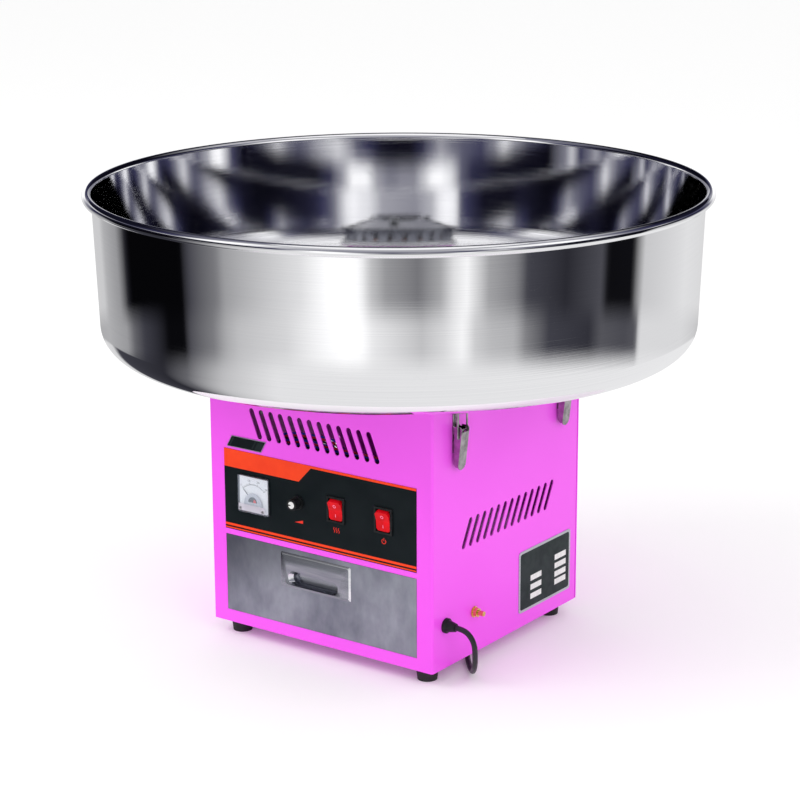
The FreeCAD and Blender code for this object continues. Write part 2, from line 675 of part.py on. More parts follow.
def keeper(spot):
    """Hook strip under the bowl: flange on the bowl, leg, shelf and a low lip."""
    body = place(doc.addObject("PartDesign::Body", "bowl_keeper"), *spot)
    t, gap = s.keeper_sheet, s.joint_gap
    shelf = s.bail_reach - s.crank - s.bail_wire - 0.15
    lip = s.pivot_out + s.bail_wire + 2.6
    outline = [
        (gap, s.latch_drop), (s.keeper_foot, s.latch_drop), (s.keeper_foot, s.latch_drop - t),
        (gap + t, s.latch_drop - t), (gap + t, shelf), (lip, shelf), (lip, shelf + 1.8), (lip + t, shelf + 1.8), (lip + t, shelf - t),
        (gap, shelf - t)]
    pad(body, draw_path(sketch_on(body, "XZ"), outline), s.latch_width, symmetric=True)
    return body


def toggle_latches():
    bases, pins, keepers = [], [], []
    for name, side, end in LATCHES:
        spot = at_latch(side, end)
        bases.append(latch_base(spot))
        latch_lever(f"latch_lever_{name}", spot)
        latch_bail(f"latch_bail_{name}", spot)
        keepers.append(keeper(spot))
        pins.append(rod("latch_pin", s.pin_radius, s.lever_width, spot[0] + side * s.pivot_out,
                        spot[1] - s.lever_width / 2, spot[2], "y"))
    group("latch_bases", bases)
    group("latch_pins", pins)
    group("bowl_keepers", keepers)


# ---- controls: y is measured back from the front of the overlay ----

def at_panel(x, z):
    return (x, face_y, case_z + z)


def meter():
    spot = at_panel(s.meter_x, s.meter_z)
    half, rear = s.meter_side / 2, -s.meter_flange
    corners = [{"x": x, "z": z} for x in (-half, half) for z in (-half, half)]

    body = new_body("meter_body", *spot)
    pad(body, draw_box(sketch_on(body, "XZ"), -half, -half, half, half), s.meter_flange)
    round_edges(body, 2, *corners)
    pad(body, draw_circle(sketch_on(body, "XZ", s.meter_barrel_length), 0, 0, s.meter_barrel),
        s.meter_barrel_length)

    cover = new_body("meter_cover", *spot)
    pad(cover, draw_box(sketch_on(cover, "XZ", rear), -half, -half, half, half), s.meter_cover_depth)
    round_edges(cover, 2, *corners)
    inner = half - s.meter_cover_wall
    pocket(cover, draw_box(sketch_on(cover, "XZ", rear), -inner, -inner, inner, inner),
           s.meter_cover_depth - s.meter_cover_wall, away=True)
    round_edges(cover, 0.6, {"y": rear - s.meter_cover_depth})

    dial = new_body("meter_dial", *spot)
    edge = inner - s.joint_gap
    pad(dial, draw_box(sketch_on(dial, "XZ", rear), -edge, -edge, edge, edge), s.dial_sheet)

    hood = new_body("meter_movement_cover", *spot)
    dial_face = rear - s.dial_sheet
    arch = [(-13, 1 - edge), (13, 1 - edge), (13, -11), (0, 2), (-13, -11)]
    pad(hood, draw_path(sketch_on(hood, "XZ", dial_face - 1.4), arch, {2: (0, -11, 1), 3: (0, -11, 1)}), 0.7)
    pad(hood, draw_box(sketch_on(hood, "XZ", dial_face), -13, 1 - edge, 13, -s.meter_pivot - 6), 1.4)

    needle = new_body("meter_needle", spot[0], spot[1], spot[2] - s.meter_pivot, Vector(0, 1, 0), -45)
    blade = [(-0.6, -4), (0.6, -4), (0.25, s.needle_length), (-0.25, s.needle_length)]
    pad(needle, draw_path(sketch_on(needle, "XZ", dial_face - 0.5), blade), 0.4)
    pad(needle, draw_circle(sketch_on(needle, "XZ", dial_face - 0.2), 0, 0, 1.8), 1)


def heat_control():
    x, y, z = at_panel(s.knob_x, s.knob_z)
    gap, recess = s.joint_gap, 3.6
    turn = (Vector(0, 1, 0), s.knob_rest)

    knob = new_body("heat_knob", x, y, z, *turn)
    pad(knob, draw_circle(sketch_on(knob, "XZ", -gap), 0, 0, s.knob_skirt), recess, taper=4)
    pad(knob, draw_circle(sketch_on(knob, "XZ", -gap - recess), 0, 0, s.knob_grip), s.knob_depth - gap - recess,
        taper=3)
    pointer = draw_box(sketch_on(knob, "XZ", -gap - recess), -0.7, s.knob_grip - 1.5, 0.7, s.knob_grip + 0.6)
    pad(knob, pointer, s.knob_depth - gap - recess - 1)
    pocket(knob, draw_circle(sketch_on(knob, "XZ", -gap), 0, 0, s.knob_grip - 0.2), recess - gap, away=True)
    pocket(knob, draw_circle(sketch_on(knob, "XZ", -recess), 0, 0, s.control_shaft_radius),
           s.knob_depth - recess - 2.5, away=True)

    shaft_length = s.knob_depth - 2.5 + 10
    node(rod("control_shaft", s.control_shaft_radius, shaft_length, x, y + 10 - shaft_length, z, "y"),
         "control_shaft")

    rear = y + s.overlay_sheet + s.sheet
    case = rod("potentiometer_case", 12, 11, x, rear, z, "y")
    bush = rod("potentiometer_bush", s.bush_radius, s.sheet + s.overlay_sheet + 3, x, y - 3, z, "y")
    bore = rod("potentiometer_bore", s.control_shaft_radius + s.running_gap, 20, x, y - 4, z, "y")
    node(cut("potentiometer", fuse("potentiometer_whole", case, bush), bore), "potentiometer")


def rocker_switches():
    bodies = []
    pin, pin_end = 1.2, 0.9
    for label, x in (("heat_rocker", s.heat_switch_x), ("power_rocker", s.power_switch_x)):
        x, y, z = at_panel(x, s.switch_z)

        def centred(name, width, height, y0, y1):
            return block(name, (x - width / 2, y0, z - height / 2), (x + width / 2, y1, z + height / 2))

        bezel = centred("bezel", s.bezel_width, s.bezel_height, y - s.bezel_depth, y)
        case = centred("switch_case", s.switch_width, s.switch_height, y, y + s.switch_depth)
        blades = [block("blade", (x - 0.4, y + s.switch_depth, z + rise - 2.4),
                        (x + 0.4, y + s.switch_depth + 8, z + rise + 2.4)) for rise in (-9, 0, 9)]
        cavity = centred("switch_cavity", s.rocker_width + 1, s.rocker_radius * 2 + 1, y - s.bezel_depth, y + 10)
        pivot_y = y - s.bezel_depth + s.rocker_pivot
        half = s.rocker_width / 2 + pin_end
        socket = rod("pin_socket", pin + s.running_gap, half * 2 + 0.2, x - half - 0.1, pivot_y, z, "x")
        bodies.append(cut("switch_body", fuse("switch_blank", bezel, case, *blades), cavity, socket))

        rocker = new_body(label, x, pivot_y, z, Vector(1, 0, 0), s.rocker_swing / 2)
        r, tilt, rear = s.rocker_radius, math.radians(25), 3
        ends = (r * math.cos(tilt), r * math.sin(tilt))
        foot = root(r * r - rear * rear)
        outline = [
            (-ends[1], ends[0]), (s.running_gap * 4 - s.rocker_pivot, 0), (-ends[1], -ends[0]), (rear, -foot),
            (rear, foot)]
        pad(rocker, draw_path(sketch_on(rocker, "YZ"), outline, {2: (0, 0, 1), 4: (0, 0, 1)}), s.rocker_width,
            symmetric=True)
        edge, clip = s.rocker_width / 2, s.rocker_clip
        corners = sketch_on(rocker, "XZ")
        for across in (-1, 1):
            for rise in (-1, 1):
                draw_path(corners, [(across * (edge - clip), rise * (r + 1)), (across * (edge + 1), rise * (r + 1)),
                                    (across * (edge + 1), rise * (ends[0] - clip)),
                                    (across * edge, rise * (ends[0] - clip)),
                                    (across * (edge - clip), rise * ends[0])])
        pocket(rocker, corners, r * 2, symmetric=True)
        pad(rocker, draw_circle(sketch_on(rocker, "YZ"), 0, 0, pin), half * 2, symmetric=True)
    group("switch_bodies", bodies)


# ---- drawer ----

def cup_window(body, level, depth):
    """The square opening that the pull's cup passes through, hidden by the pull's flange."""
    half, rise = s.cup_width / 2 + s.drawer_sheet, s.cup_height / 2 + s.drawer_sheet
    pocket(body, draw_box(sketch_on(body, "XZ", level), s.cup_x - half, s.cup_z - rise, s.cup_x + half,
                          s.cup_z + rise), depth)


def drawer():
    t = s.drawer_sheet
    half = opening - s.joint_gap
    low, high = s.pan_lip + s.joint_gap, shelf_z - s.joint_gap

    plate = new_body("drawer_front", 0, case_y, case_z)
    pad(plate, draw_box(sketch_on(plate, "XZ", front + t), -half, low, half, high), t)
    rim = draw_box(sketch_on(plate, "XZ", front + s.lip_depth), -half, low, half, high)
    draw_box(rim, t - half, low + t, half - t, high - t)
    pad(plate, rim, s.lip_depth - t)
    cup_window(plate, front, t)

    tray = new_body("drawer_tray", 0, case_y, case_z)
    tray_half, start = s.tray_width / 2, front + t
    pad(tray, draw_box(sketch_on(tray, "XY", tray_z), -tray_half, start, tray_half, start + s.tray_depth),
        s.tray_height)
    pocket(tray, draw_box(sketch_on(tray, "XY", tray_z + s.tray_height), t - tray_half, start + t, tray_half - t,
                          start + s.tray_depth - t), s.tray_height - t)
    cup_window(tray, start, t)

    pull = new_body("drawer_pull", 0, case_y, case_z)
    x0, z0 = s.pull_x - s.pull_width / 2, s.pull_z - s.pull_height / 2
    x1, z1 = s.pull_x + s.pull_width / 2, s.pull_z + s.pull_height / 2
    pad(pull, draw_box(sketch_on(pull, "XZ", front), x0, z0, x1, z1), t)
    round_edges(pull, 2, *[{"x": x, "z": z} for x in (x0, x1) for z in (z0, z1)])
    cup = sketch_on(pull, "XZ", front + s.cup_depth, (s.cup_x, s.cup_z), 90)
    pad(pull, draw_slot(cup, s.cup_width + t * 2, s.cup_height + t * 2), s.cup_depth)
    hollow = sketch_on(pull, "XZ", front - t, (s.cup_x, s.cup_z), 90)
    pocket(pull, draw_slot(hollow, s.cup_width, s.cup_height), s.cup_depth)


# ---- spindle drive: z is measured from the top of the drive plate ----

plate_z = case_top - s.plate_drop
pulley_z = -s.sheet * 2 - s.pulley_drop - s.pulley_width
ring_z = pulley_z - s.ring_pitch * 2 - 2


def drive_plate():
    body = new_body("drive_plate", 0, 0, plate_z)
    t, inside = s.sheet * 2, wall - s.sheet
    y0, y1 = -s.plate_width_front, s.plate_width_back
    plate = draw_box(sketch_on(body, "XY", -t), -inside, y0, inside, y1)
    draw_circle(plate, 0, 0, s.bearing_radius - 2)
    draw_circle(plate, 0, s.motor_distance, s.motor_shaft_radius + 4)
    pad(body, plate, t)
    ends = sketch_on(body, "XY", -s.fold_depth * 1.5)
    for side in (-1, 1):
        draw_box(ends, side * inside, y0, side * (inside - t), y1)
    pad(body, ends, s.fold_depth * 1.5)


def bearings():
    r, top, step = s.bearing_radius, s.housing_height, 3
    low, high = s.bearing_width + 4, s.housing_height - s.bearing_width - 4
    body = new_body("bearing_housing", 0, 0, plate_z)
    revolve(body, [
        (r, 0), (s.housing_flange, 0), (s.housing_flange, s.housing_flange_height),
        (s.housing_radius, s.housing_flange_height), (s.housing_radius, top), (r, top), (r, high),
        (r - step, high), (r - step, low), (r, low)])
    rings = []
    for level in (low - s.bearing_width, high):
        z = plate_z + level
        outer = rod("bearing_outer", r, s.bearing_width, 0, 0, z)
        rings.append(cut("bearing", outer, rod("bearing_bore", s.spindle_radius + s.running_gap,
                                                s.bearing_width, 0, 0, z)))
    group("spindle_bearings", rings)


def pulley(label, radius, bore, y):
    body = new_body(label, 0, y, plate_z + pulley_z)
    width, lip = s.pulley_width, (s.pulley_width - s.belt_width) / 2 - s.belt_gap
    floor = radius - s.groove_depth
    revolve(body, [(bore, 0), (radius, 0), (radius, lip - 0.5), (floor, lip), (floor, width - lip),
                   (radius, width - lip + 0.5), (radius, width), (bore, width)])


def belt():
    """Flat loop round both pulleys, its straight runs tangent to the two arcs."""
    body = new_body("drive_belt", 0, 0, plate_z + pulley_z + (s.pulley_width - s.belt_width) / 2)
    sketch = sketch_on(body, "XY")
    for grow in (s.belt_height, 0):
        large = s.pulley_radius - s.groove_depth + s.belt_gap + grow
        small = s.motor_pulley_radius - s.groove_depth + s.belt_gap + grow
        rise = (large - small) / s.motor_distance
        reach = root(1 - rise * rise)
        points = [(large * reach, large * rise), (small * reach, s.motor_distance + small * rise),
                  (0, s.motor_distance + small), (-small * reach, s.motor_distance + small * rise),
                  (-large * reach, large * rise), (0, -large)]
        centre, far = (0, 0, 1), (0, s.motor_distance, 1)
        draw_path(sketch, points, {1: far, 2: far, 4: centre, 5: centre})
    pad(body, sketch, s.belt_width)


def spindle():
    foot, top = ring_z - 4, case_top - plate_z + s.head_level + 10
    node(rod("spindle_shaft", s.spindle_radius, top - foot, 0, 0, plate_z + foot), "spindle_shaft")
    hub_height = s.ring_pitch * 2
    hub = rod("ring_hub_blank", s.ring_hub, hub_height, 0, 0, plate_z + ring_z)
    pieces = [cut("ring_hub_turned", hub, rod("ring_hub_bore", s.spindle_radius, hub_height, 0, 0, plate_z + ring_z))]
    for step in (0, 1):
        z = plate_z + ring_z + (s.ring_pitch - s.ring_height) / 2 + step * s.ring_pitch
        blank = rod("ring_blank", s.ring_radius, s.ring_height, 0, 0, z)
        pieces.append(cut("slip_ring", blank, rod("ring_bore", s.ring_hub, s.ring_height, 0, 0, z)))
    group("slip_rings", pieces)


def brushes():
    inner, outer, reach = s.ring_radius + 7, s.pulley_radius + 10, s.ring_radius + 0.15
    half, side = s.ring_hub - 4, s.brush_side / 2
    z0 = plate_z + ring_z
    arm = block("brush_arm", (inner, -half, z0), (outer, half, z0 + s.ring_pitch * 2))
    post = block("brush_post", (outer - 6, -half, z0), (outer, half, plate_z - s.sheet * 2))
    carbons, slots = [], []
    for step in (0, 1):
        z = z0 + s.ring_pitch * (step + 0.5)
        corners = ((reach, -side, z - side), (reach + 14, side, z + side))
        carbons.append(block("brush", *corners))
        slots.append(block("brush_slot", *corners))
    node(cut("brush_holder", fuse("brush_frame", arm, post), *slots), "brush_holder")
    group("carbon_brushes", carbons)


def motor():
    """Closed motor with a stepped end bell and four feet screwed to the drive plate."""
    top, bore = s.motor_height, s.motor_shaft_radius + s.running_gap
    body = new_body("motor", 0, s.motor_distance, plate_z)
    r, step, crown, cap = s.motor_radius, s.motor_step, s.motor_crown, 8
    revolve(body, [
        (bore, 0), (r, 0), (r, cap), (r - step, cap), (r - step, top - crown - cap), (r, top - crown - cap),
        (r, top - crown), (r - step * 3, top), (0, top), (0, top - cap), (bore, top - cap)])
    foot = sketch_on(body, "XY", 0, (0, 0), 45)
    draw_box(foot, r - step, -6, s.motor_foot, 6)
    feet = pad(body, foot, s.motor_foot_sheet)
    ring_of(body, feet, 4)
    end = pulley_z - 2
    node(rod("motor_shaft", s.motor_shaft_radius, top - crown - end, 0, s.motor_distance, plate_z + end),
         "motor_shaft")


def electrics():
    r, y = s.capacitor_radius, s.capacitor_radius + 2.5 - s.plate_width_front
    can = rod("capacitor_can", r, s.capacitor_length, s.capacitor_x, y, plate_z + r, "x")
    cap = rod("capacitor_terminals", s.capacitor_neck, 9, s.capacitor_x + s.capacitor_length, y, plate_z + r, "x")
    node(fuse("run_capacitor", can, cap), "run_capacitor")

    x, y, z = s.board_x, s.board_y, case_z + shelf_z + s.sheet
    top = z + s.standoff + s.board_sheet
    board = block("board", (x, y, z + s.standoff), (x + s.board_width, y + s.board_depth, top))
    inset = s.standoff_inset
    posts = [rod("standoff", s.standoff_radius, s.standoff, x + dx, y + dy, z)
             for dx in (inset, s.board_width - inset) for dy in (inset, s.board_depth - inset)]
    x, y = x + (s.board_width - s.sink_width) / 2, y + 15
    sink = block("heat_sink_foot", (x, y, top), (x + s.sink_width, y + s.sink_depth, top + s.sink_base))
    fins = [block("heat_sink_fin", (x + step * s.fin_pitch, y, top + s.sink_base),
                  (x + step * s.fin_pitch + s.fin_sheet, y + s.sink_depth, top + s.sink_base + s.fin_height))
            for step in range(5)]
    node(fuse("heat_control_board", board, *posts, sink, *fins), "heat_control_board")


# ---- spinner head: z is measured from the underside of its base ----

def spinner_head():
    level = case_top + s.head_level
    t, r, band = s.head_sheet, s.head_radius, s.band_radius
    ledge, floor = 8, t
    base = new_body("spinner_base", 0, 0, level)
    revolve(base, [
        (s.spindle_radius, -3), (14, -3), (14, 0), (r - 9, 0), (r, 6), (r, ledge + 5), (r - t, ledge + 5),
        (r - t, ledge), (band - 2.5, ledge), (band - 6, floor), (16, floor), (13, 10), (s.spindle_radius, 10)])

    ring = new_body("heater_ring", 0, 0, level)
    revolve(ring, [(s.heater_inner, floor), (s.heater_outer, floor), (s.heater_outer, floor + s.heater_height),
                   (s.heater_inner, floor + s.heater_height)])

    sleeve = new_body("slotted_band", 0, 0, level)
    top = ledge + s.band_height
    revolve(sleeve, [(band - s.band_wall, ledge), (band, ledge), (band, top), (band - s.band_wall, top)])
    slot = sketch_on(sleeve, "YZ", band + 1, (0, ledge + s.band_height / 2))
    slot = pocket(sleeve, draw_box(slot, -1.4, 5 - s.band_height / 2, 1.4, s.band_height / 2 - 5), s.band_wall + 4)
    ring_of(sleeve, slot, s.band_slots)

    cap = new_body("spinner_cap", 0, 0, level)
    hole, crown = s.sugar_hole, top + 14
    revolve(cap, [
        (hole, 12), (hole + t, 12), (hole + t, crown - t), (band - 1, top), (r, top), (r, top + t), (band, top + t),
        (hole + t * 2, crown), (hole + t * 2, crown + 4), (hole, crown + 4)])
    drill_cap = drill(cap, "XY", crown + 6, [(s.post_circle, 0, s.post_radius + 0.1)], 20)
    ring_of(cap, drill_cap, 3)

    posts = []
    for number in range(3):
        angle = math.radians(120 * number)
        x, y = s.post_circle * math.cos(angle), s.post_circle * math.sin(angle)
        stem = rod("post_stem", s.post_radius, top + 14 - floor, x, y, level + floor)
        nut = hexagon("post_nut", 8, 4, x, y, level + top + 12)
        posts.append(fuse("post", stem, nut))
    group("spinner_posts", posts)


# ---- fittings on the right side and the mains cord ----

def side_fittings():
    y, z = case_y + earth_y, case_z + s.earth_z
    stud = rod("earth_stud", s.earth_radius, s.earth_length + 10, wall - 10, y, z, "x")
    washer = rod("earth_washer", 6.5, 1.2, wall, y, z, "x")
    nut = hexagon("earth_nut", 10, 5, wall + 1.2, y, z, "x")
    inner = hexagon("earth_inner_nut", 10, 5, wall - s.sheet - 5, y, z, "x")
    node(fuse("earth_terminal", stud, washer, nut, inner), "earth_terminal")

    gland = new_body("cord_bushing", wall, case_y + gland_y, case_z + s.gland_z, Vector(0, 1, 0), 90)
    cord = s.cord_diameter / 2
    revolve(gland, [(0, -8), (s.gland_neck, -8), (s.gland_neck, 0), (s.gland_flange, 0), (s.gland_flange, 3),
                    (s.gland_neck, 4), (cord + 1.6, s.gland_length), (0, s.gland_length)])


def cord_tube(points, radius):
    """Straight runs joined by tangent arcs, each as large as its two runs allow."""
    points = [Vector(*point) for point in points]
    edges, start, bends = [], points[0], []
    for before, corner, after in zip(points, points[1:], points[2:]):
        into, out = (corner - before), (after - corner)
        half_turn = into.getAngle(out) / 2
        trim = 0.45 * min(into.Length, out.Length)
        bends.append(trim / math.tan(half_turn))
        into.normalize()
        out.normalize()
        first, last = corner - into * trim, corner + out * trim
        inward = (out - into).normalize()
        middle = corner + inward * (bends[-1] / math.cos(half_turn) - bends[-1])
        edges += [Part.LineSegment(start, first).toShape(), Part.Arc(first, middle, last).toShape()]
        start = last
    edges.append(Part.LineSegment(start, points[-1]).toShape())
    path = Part.Wire(edges)
    print("cord bends at least", round(min(bends), 1), "length", round(path.Length, 1))
    section = Part.Wire(Part.Circle(points[0], points[1] - points[0], radius.value).toShape())
    tube = path.makePipeShell([section], True, False)
    share = tube.Volume / (math.pi * radius.value ** 2 * path.Length)
    if abs(share - 1) > 0.01:
        raise RuntimeError(f"the cord's tube has {share:.3f} of its volume")
    return tube


def mains_cord():
    cord = doc.addObject("Part::Feature", "power_cord")
    radius = s.cord_diameter / 2
    cord.Shape = Part.makeCompound([cord_tube(route, radius) for route in (CORD_ROUTE, PLUG_ROUTE)])
    node(cord, "power_cord")
    blank = rod("coil_blank", s.coil_outer, s.coil_height, s.coil_x, s.coil_y, 0)
    hollow = rod("coil_hollow", s.coil_inner, s.coil_height, s.coil_x, s.coil_y, 0)
    node(cut("cord_coil", blank, hollow), "cord_coil")

    end, before = Vector(*PLUG_ROUTE[-1]), Vector(*PLUG_ROUTE[-2])
    heading = math.degrees(math.atan2(end.y - before.y, end.x - before.x))
    plug = new_body("power_plug", end.x, end.y, end.z, Vector(0, 0, 1), heading)
    bottom = -end.z
    neck = [(0, -3.25), (16, -8), (40, -12.5), (40, 12.5), (16, 8), (0, 3.25)]
    pad(plug, draw_path(sketch_on(plug, "XY", bottom), neck), 14)
    pins = sketch_on(plug, "YZ", 40)
    for side in (-9.5, 9.5):
        draw_circle(pins, side, bottom + 7, 2.4)
    pad(plug, pins, 19)


side_panel("left_side_panel", -1)
side_panel("right_side_panel", 1)
base_pan()
rear_panel()
top_panel()
front_panel()
control_overlay()
drawer_housing()
feet_and_screws()
bowl()
toggle_latches()
meter()
heat_control()
rocker_switches()
drawer()
drive_plate()
bearings()
pulley("driven_pulley", s.pulley_radius, s.spindle_radius, 0)
pulley("motor_pulley", s.motor_pulley_radius, s.motor_shaft_radius, s.motor_distance)
belt()
spindle()
brushes()
motor()
electrics()
spinner_head()
side_fittings()
mains_cord()
doc.recompute()

failed = [item.Label for item in doc.Objects if {"Invalid", "Error"} & set(item.State)]
failed += [item.Label for item in nodes if item.Shape.isNull() or not item.Shape.isValid()]
if failed:
    raise RuntimeError(f"these did not build: {failed}")
os.makedirs("parts", exist_ok=True)
for item in nodes:
    item.Shape.exportStep(f"parts/{item.Label}.step")
print(len(nodes), "nodes,", sum(len(item.Shape.Solids) for item in nodes), "solids")
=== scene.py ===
import json
import math

import bmesh
import bpy
from mathutils import Matrix, Vector


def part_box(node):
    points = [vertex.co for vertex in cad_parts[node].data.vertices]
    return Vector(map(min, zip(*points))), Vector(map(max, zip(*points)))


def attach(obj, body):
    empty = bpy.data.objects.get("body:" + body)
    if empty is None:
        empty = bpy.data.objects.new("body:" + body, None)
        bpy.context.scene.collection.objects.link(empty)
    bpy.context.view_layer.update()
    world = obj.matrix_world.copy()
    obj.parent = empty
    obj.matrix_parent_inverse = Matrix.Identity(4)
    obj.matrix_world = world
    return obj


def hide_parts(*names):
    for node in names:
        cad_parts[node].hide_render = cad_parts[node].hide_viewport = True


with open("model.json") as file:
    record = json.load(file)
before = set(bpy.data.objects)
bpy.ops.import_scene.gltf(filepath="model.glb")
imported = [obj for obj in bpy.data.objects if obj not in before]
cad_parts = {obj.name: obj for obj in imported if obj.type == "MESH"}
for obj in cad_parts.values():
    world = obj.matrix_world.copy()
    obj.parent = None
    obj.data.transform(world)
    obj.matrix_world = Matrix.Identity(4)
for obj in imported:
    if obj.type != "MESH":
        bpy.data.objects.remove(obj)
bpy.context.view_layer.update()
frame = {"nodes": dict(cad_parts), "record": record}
cadNodes = frame["nodes"]
jointPlaces = {joint["name"]: Vector(joint["pos_m"]) for joint in frame["record"]["behaviour"]["joints"]
               if "pos_m" in joint}
scene = bpy.context.scene
mm = 0.001


def linear(red, green, blue):
    # screen colour, 0 to 255, to the shader's linear colour
    parts = [part / 255 for part in (red, green, blue)]
    return tuple(part / 12.92 if part < 0.04 else ((part + 0.055) / 1.055) ** 2.4 for part in parts) + (1,)


def newObject(name, data):
    thing = bpy.data.objects.new(name, data)
    scene.collection.objects.link(thing)
    return thing


def newMaterial(name):
    material = bpy.data.materials.new(name)
    material.use_nodes = True
    return material, material.node_tree


def plainMesh(name, points, faces=()):
    mesh = bpy.data.meshes.new(name)
    mesh.from_pydata(points, [], faces)
    return mesh


def bakedMesh(thing):
    # the final mesh of a curve, a text or a modifier, whose object then goes
    mesh = bpy.data.meshes.new_from_object(thing.evaluated_get(bpy.context.evaluated_depsgraph_get()))
    bpy.data.objects.remove(thing)
    return mesh


# camera for a square frame: angles in degrees, focal length in pixels of the frame, the rest in metres
cameraView = {"azimuth": 35.8373, "elevation": 15.6705, "roll": -0.2215, "distance": 2.81763,
              "aside": 0.00471, "height": 0.27429, "offset": (0, -0.007, 0.0043), "focal": 2375.908,
              "frameSide": 800, "filmSide": 36, "clip": (0.05, 60)}


def placeCamera():
    view = cameraView
    turn, rise, roll = (math.radians(view[name]) for name in ("azimuth", "elevation", "roll"))
    back = Vector((math.sin(turn) * math.cos(rise), -math.cos(turn) * math.cos(rise), math.sin(rise)))
    right = Vector((math.cos(turn), math.sin(turn), 0))
    up = back.cross(right)
    tiltedRight = right * math.cos(roll) + up * math.sin(roll)
    tiltedUp = up * math.cos(roll) - right * math.sin(roll)
    eye = (right * view["aside"] + Vector((0, 0, view["height"])) + back * view["distance"]
           + Vector(view["offset"]))
    data = bpy.data.cameras.new("camera")
    data.sensor_width = view["filmSide"]
    data.lens = view["focal"] / view["frameSide"] * view["filmSide"]
    data.clip_start, data.clip_end = view["clip"]
    camera = newObject("camera", data)
    turnMatrix = Matrix((tiltedRight, tiltedUp, back)).transposed().to_4x4()
    camera.matrix_world = Matrix.Translation(eye) @ turnMatrix
    scene.camera = camera
    print("camera placed")


def shaderGroup(name, *inputs):
    # inputs: kind, name and usual value; the group puts out one value
    tree = bpy.data.node_groups.new(name, "ShaderNodeTree")
    for kind, label, value in (("Vector", "Vector", (0, 0, 0)), *inputs):
        socket = tree.interface.new_socket(label, in_out="INPUT", socket_type="NodeSocket" + kind)
        socket.default_value = value
    tree.interface.new_socket("Value", in_out="OUTPUT", socket_type="NodeSocketFloat")
    return tree, tree.nodes.new("NodeGroupInput").outputs, tree.nodes.new("NodeGroupOutput").inputs["Value"]


def addNode(tree, kind, settings=None, **links):
    # links: input name (or number as i0, i1) to a socket or a plain value
    node = tree.nodes.new(kind if kind.startswith("Geometry") else "ShaderNode" + kind)
    for name, value in (settings or {}).items():
        setattr(node, name, value)
    for name, value in links.items():
        socket = node.inputs[int(name[1:])] if name[0] == "i" and name[1:].isdigit() else node.inputs[name]
        if isinstance(value, bpy.types.NodeSocket):
            tree.links.new(value, socket)
        else:
            socket.default_value = value
    return node


def combined(tree, operation, *values):
    links = {f"i{spot}": value for spot, value in enumerate(values)}
    return addNode(tree, "Math", {"operation": operation}, **links).outputs[0]


def ranged(tree, value, given=(0, 1), result=(0, 1), kind="LINEAR"):
    node = addNode(tree, "MapRange", {"interpolation_type": kind}, Value=value)
    for label, number in zip(("From Min", "From Max", "To Min", "To Max"), (*given, *result)):
        node.inputs[label].default_value = number
    return node.outputs[0]


def mixed(tree, share, first, second):
    return addNode(tree, "Mix", {"data_type": "RGBA"}, i0=share, i6=first, i7=second).outputs[2]


cloudSpread, lineSpread = (0.25, 0.75), (0.3, 0.7)    # parts of the noise that are stretched to 0 to 1
scuffLook = {"bend": (0.05, 0.05, 0.05), "bendScale": 9, "width": 0.012, "patchScale": 14, "scale": 45,
             "rough": 0.05}


def buildMottle():
    # soft clouds: how evenly a surface was painted, moulded or handled
    tree, given, result = shaderGroup("mottle", ("Float", "Scale", 20), ("Float", "Detail", 3))
    noise = addNode(tree, "TexNoise", Vector=given["Vector"], Scale=given["Scale"],
                    Detail=given["Detail"])
    tree.links.new(ranged(tree, noise.outputs[0], cloudSpread, kind="SMOOTHSTEP"), result)
    return tree


def buildBrushed():
    # fine straight lines: the stretch is small along the lines and large across them
    tree, given, result = shaderGroup("brushed", ("Vector", "Stretch", (1, 1, 1)),
                                      ("Float", "Roughness", 0.6))
    scaled = addNode(tree, "VectorMath", {"operation": "MULTIPLY"}, i0=given["Vector"], i1=given["Stretch"])
    noise = addNode(tree, "TexNoise", Vector=scaled.outputs[0], Scale=1.0, Detail=4.0,
                    Roughness=given["Roughness"])
    tree.links.new(ranged(tree, noise.outputs[0], lineSpread), result)
    return tree


def buildSpun():
    # rings left by spinning or turning round the Z axis, closed all the way round
    tree, given, result = shaderGroup("spun", ("Float", "Rings", 900), ("Float", "Around", 2))
    x, y, z = addNode(tree, "SeparateXYZ", i0=given["Vector"]).outputs
    squares = combined(tree, "ADD", combined(tree, "MULTIPLY", x, x), combined(tree, "MULTIPLY", y, y))
    radius = combined(tree, "SQRT", squares)
    safe = combined(tree, "MAXIMUM", radius, mm)
    turned = [combined(tree, "MULTIPLY", combined(tree, "DIVIDE", part, safe), given["Around"])
              for part in (x, y)]
    across = combined(tree, "MULTIPLY", combined(tree, "ADD", radius, z), given["Rings"])
    place = addNode(tree, "CombineXYZ", i0=turned[0], i1=turned[1], i2=across)
    noise = addNode(tree, "TexNoise", Vector=place.outputs[0], Scale=1.0, Detail=3.0)
    tree.links.new(ranged(tree, noise.outputs[0], lineSpread), result)
    return tree


def buildScuffs():
    # sparse thin marks where a surface is rubbed: 0 clean, 1 marked
    look = scuffLook
    tree, given, result = shaderGroup("scuffs", ("Float", "Scale", 60), ("Float", "Share", 0.3))
    bent = addNode(tree, "TexNoise", Vector=given["Vector"], Scale=look["bendScale"], Detail=2.0)
    moved = addNode(tree, "VectorMath", {"operation": "MULTIPLY_ADD"}, i0=bent.outputs[1], i1=look["bend"],
                    i2=given["Vector"])
    cells = addNode(tree, "TexVoronoi", {"feature": "DISTANCE_TO_EDGE"}, Vector=moved.outputs[0],
                    Scale=given["Scale"])
    thin = combined(tree, "LESS_THAN", cells.outputs[0], look["width"])
    patches = addNode(tree, "TexNoise", Vector=given["Vector"], Scale=look["patchScale"], Detail=2.0)
    chosen = combined(tree, "LESS_THAN", patches.outputs[0], given["Share"])
    tree.links.new(combined(tree, "MULTIPLY", thin, chosen), result)
    return tree


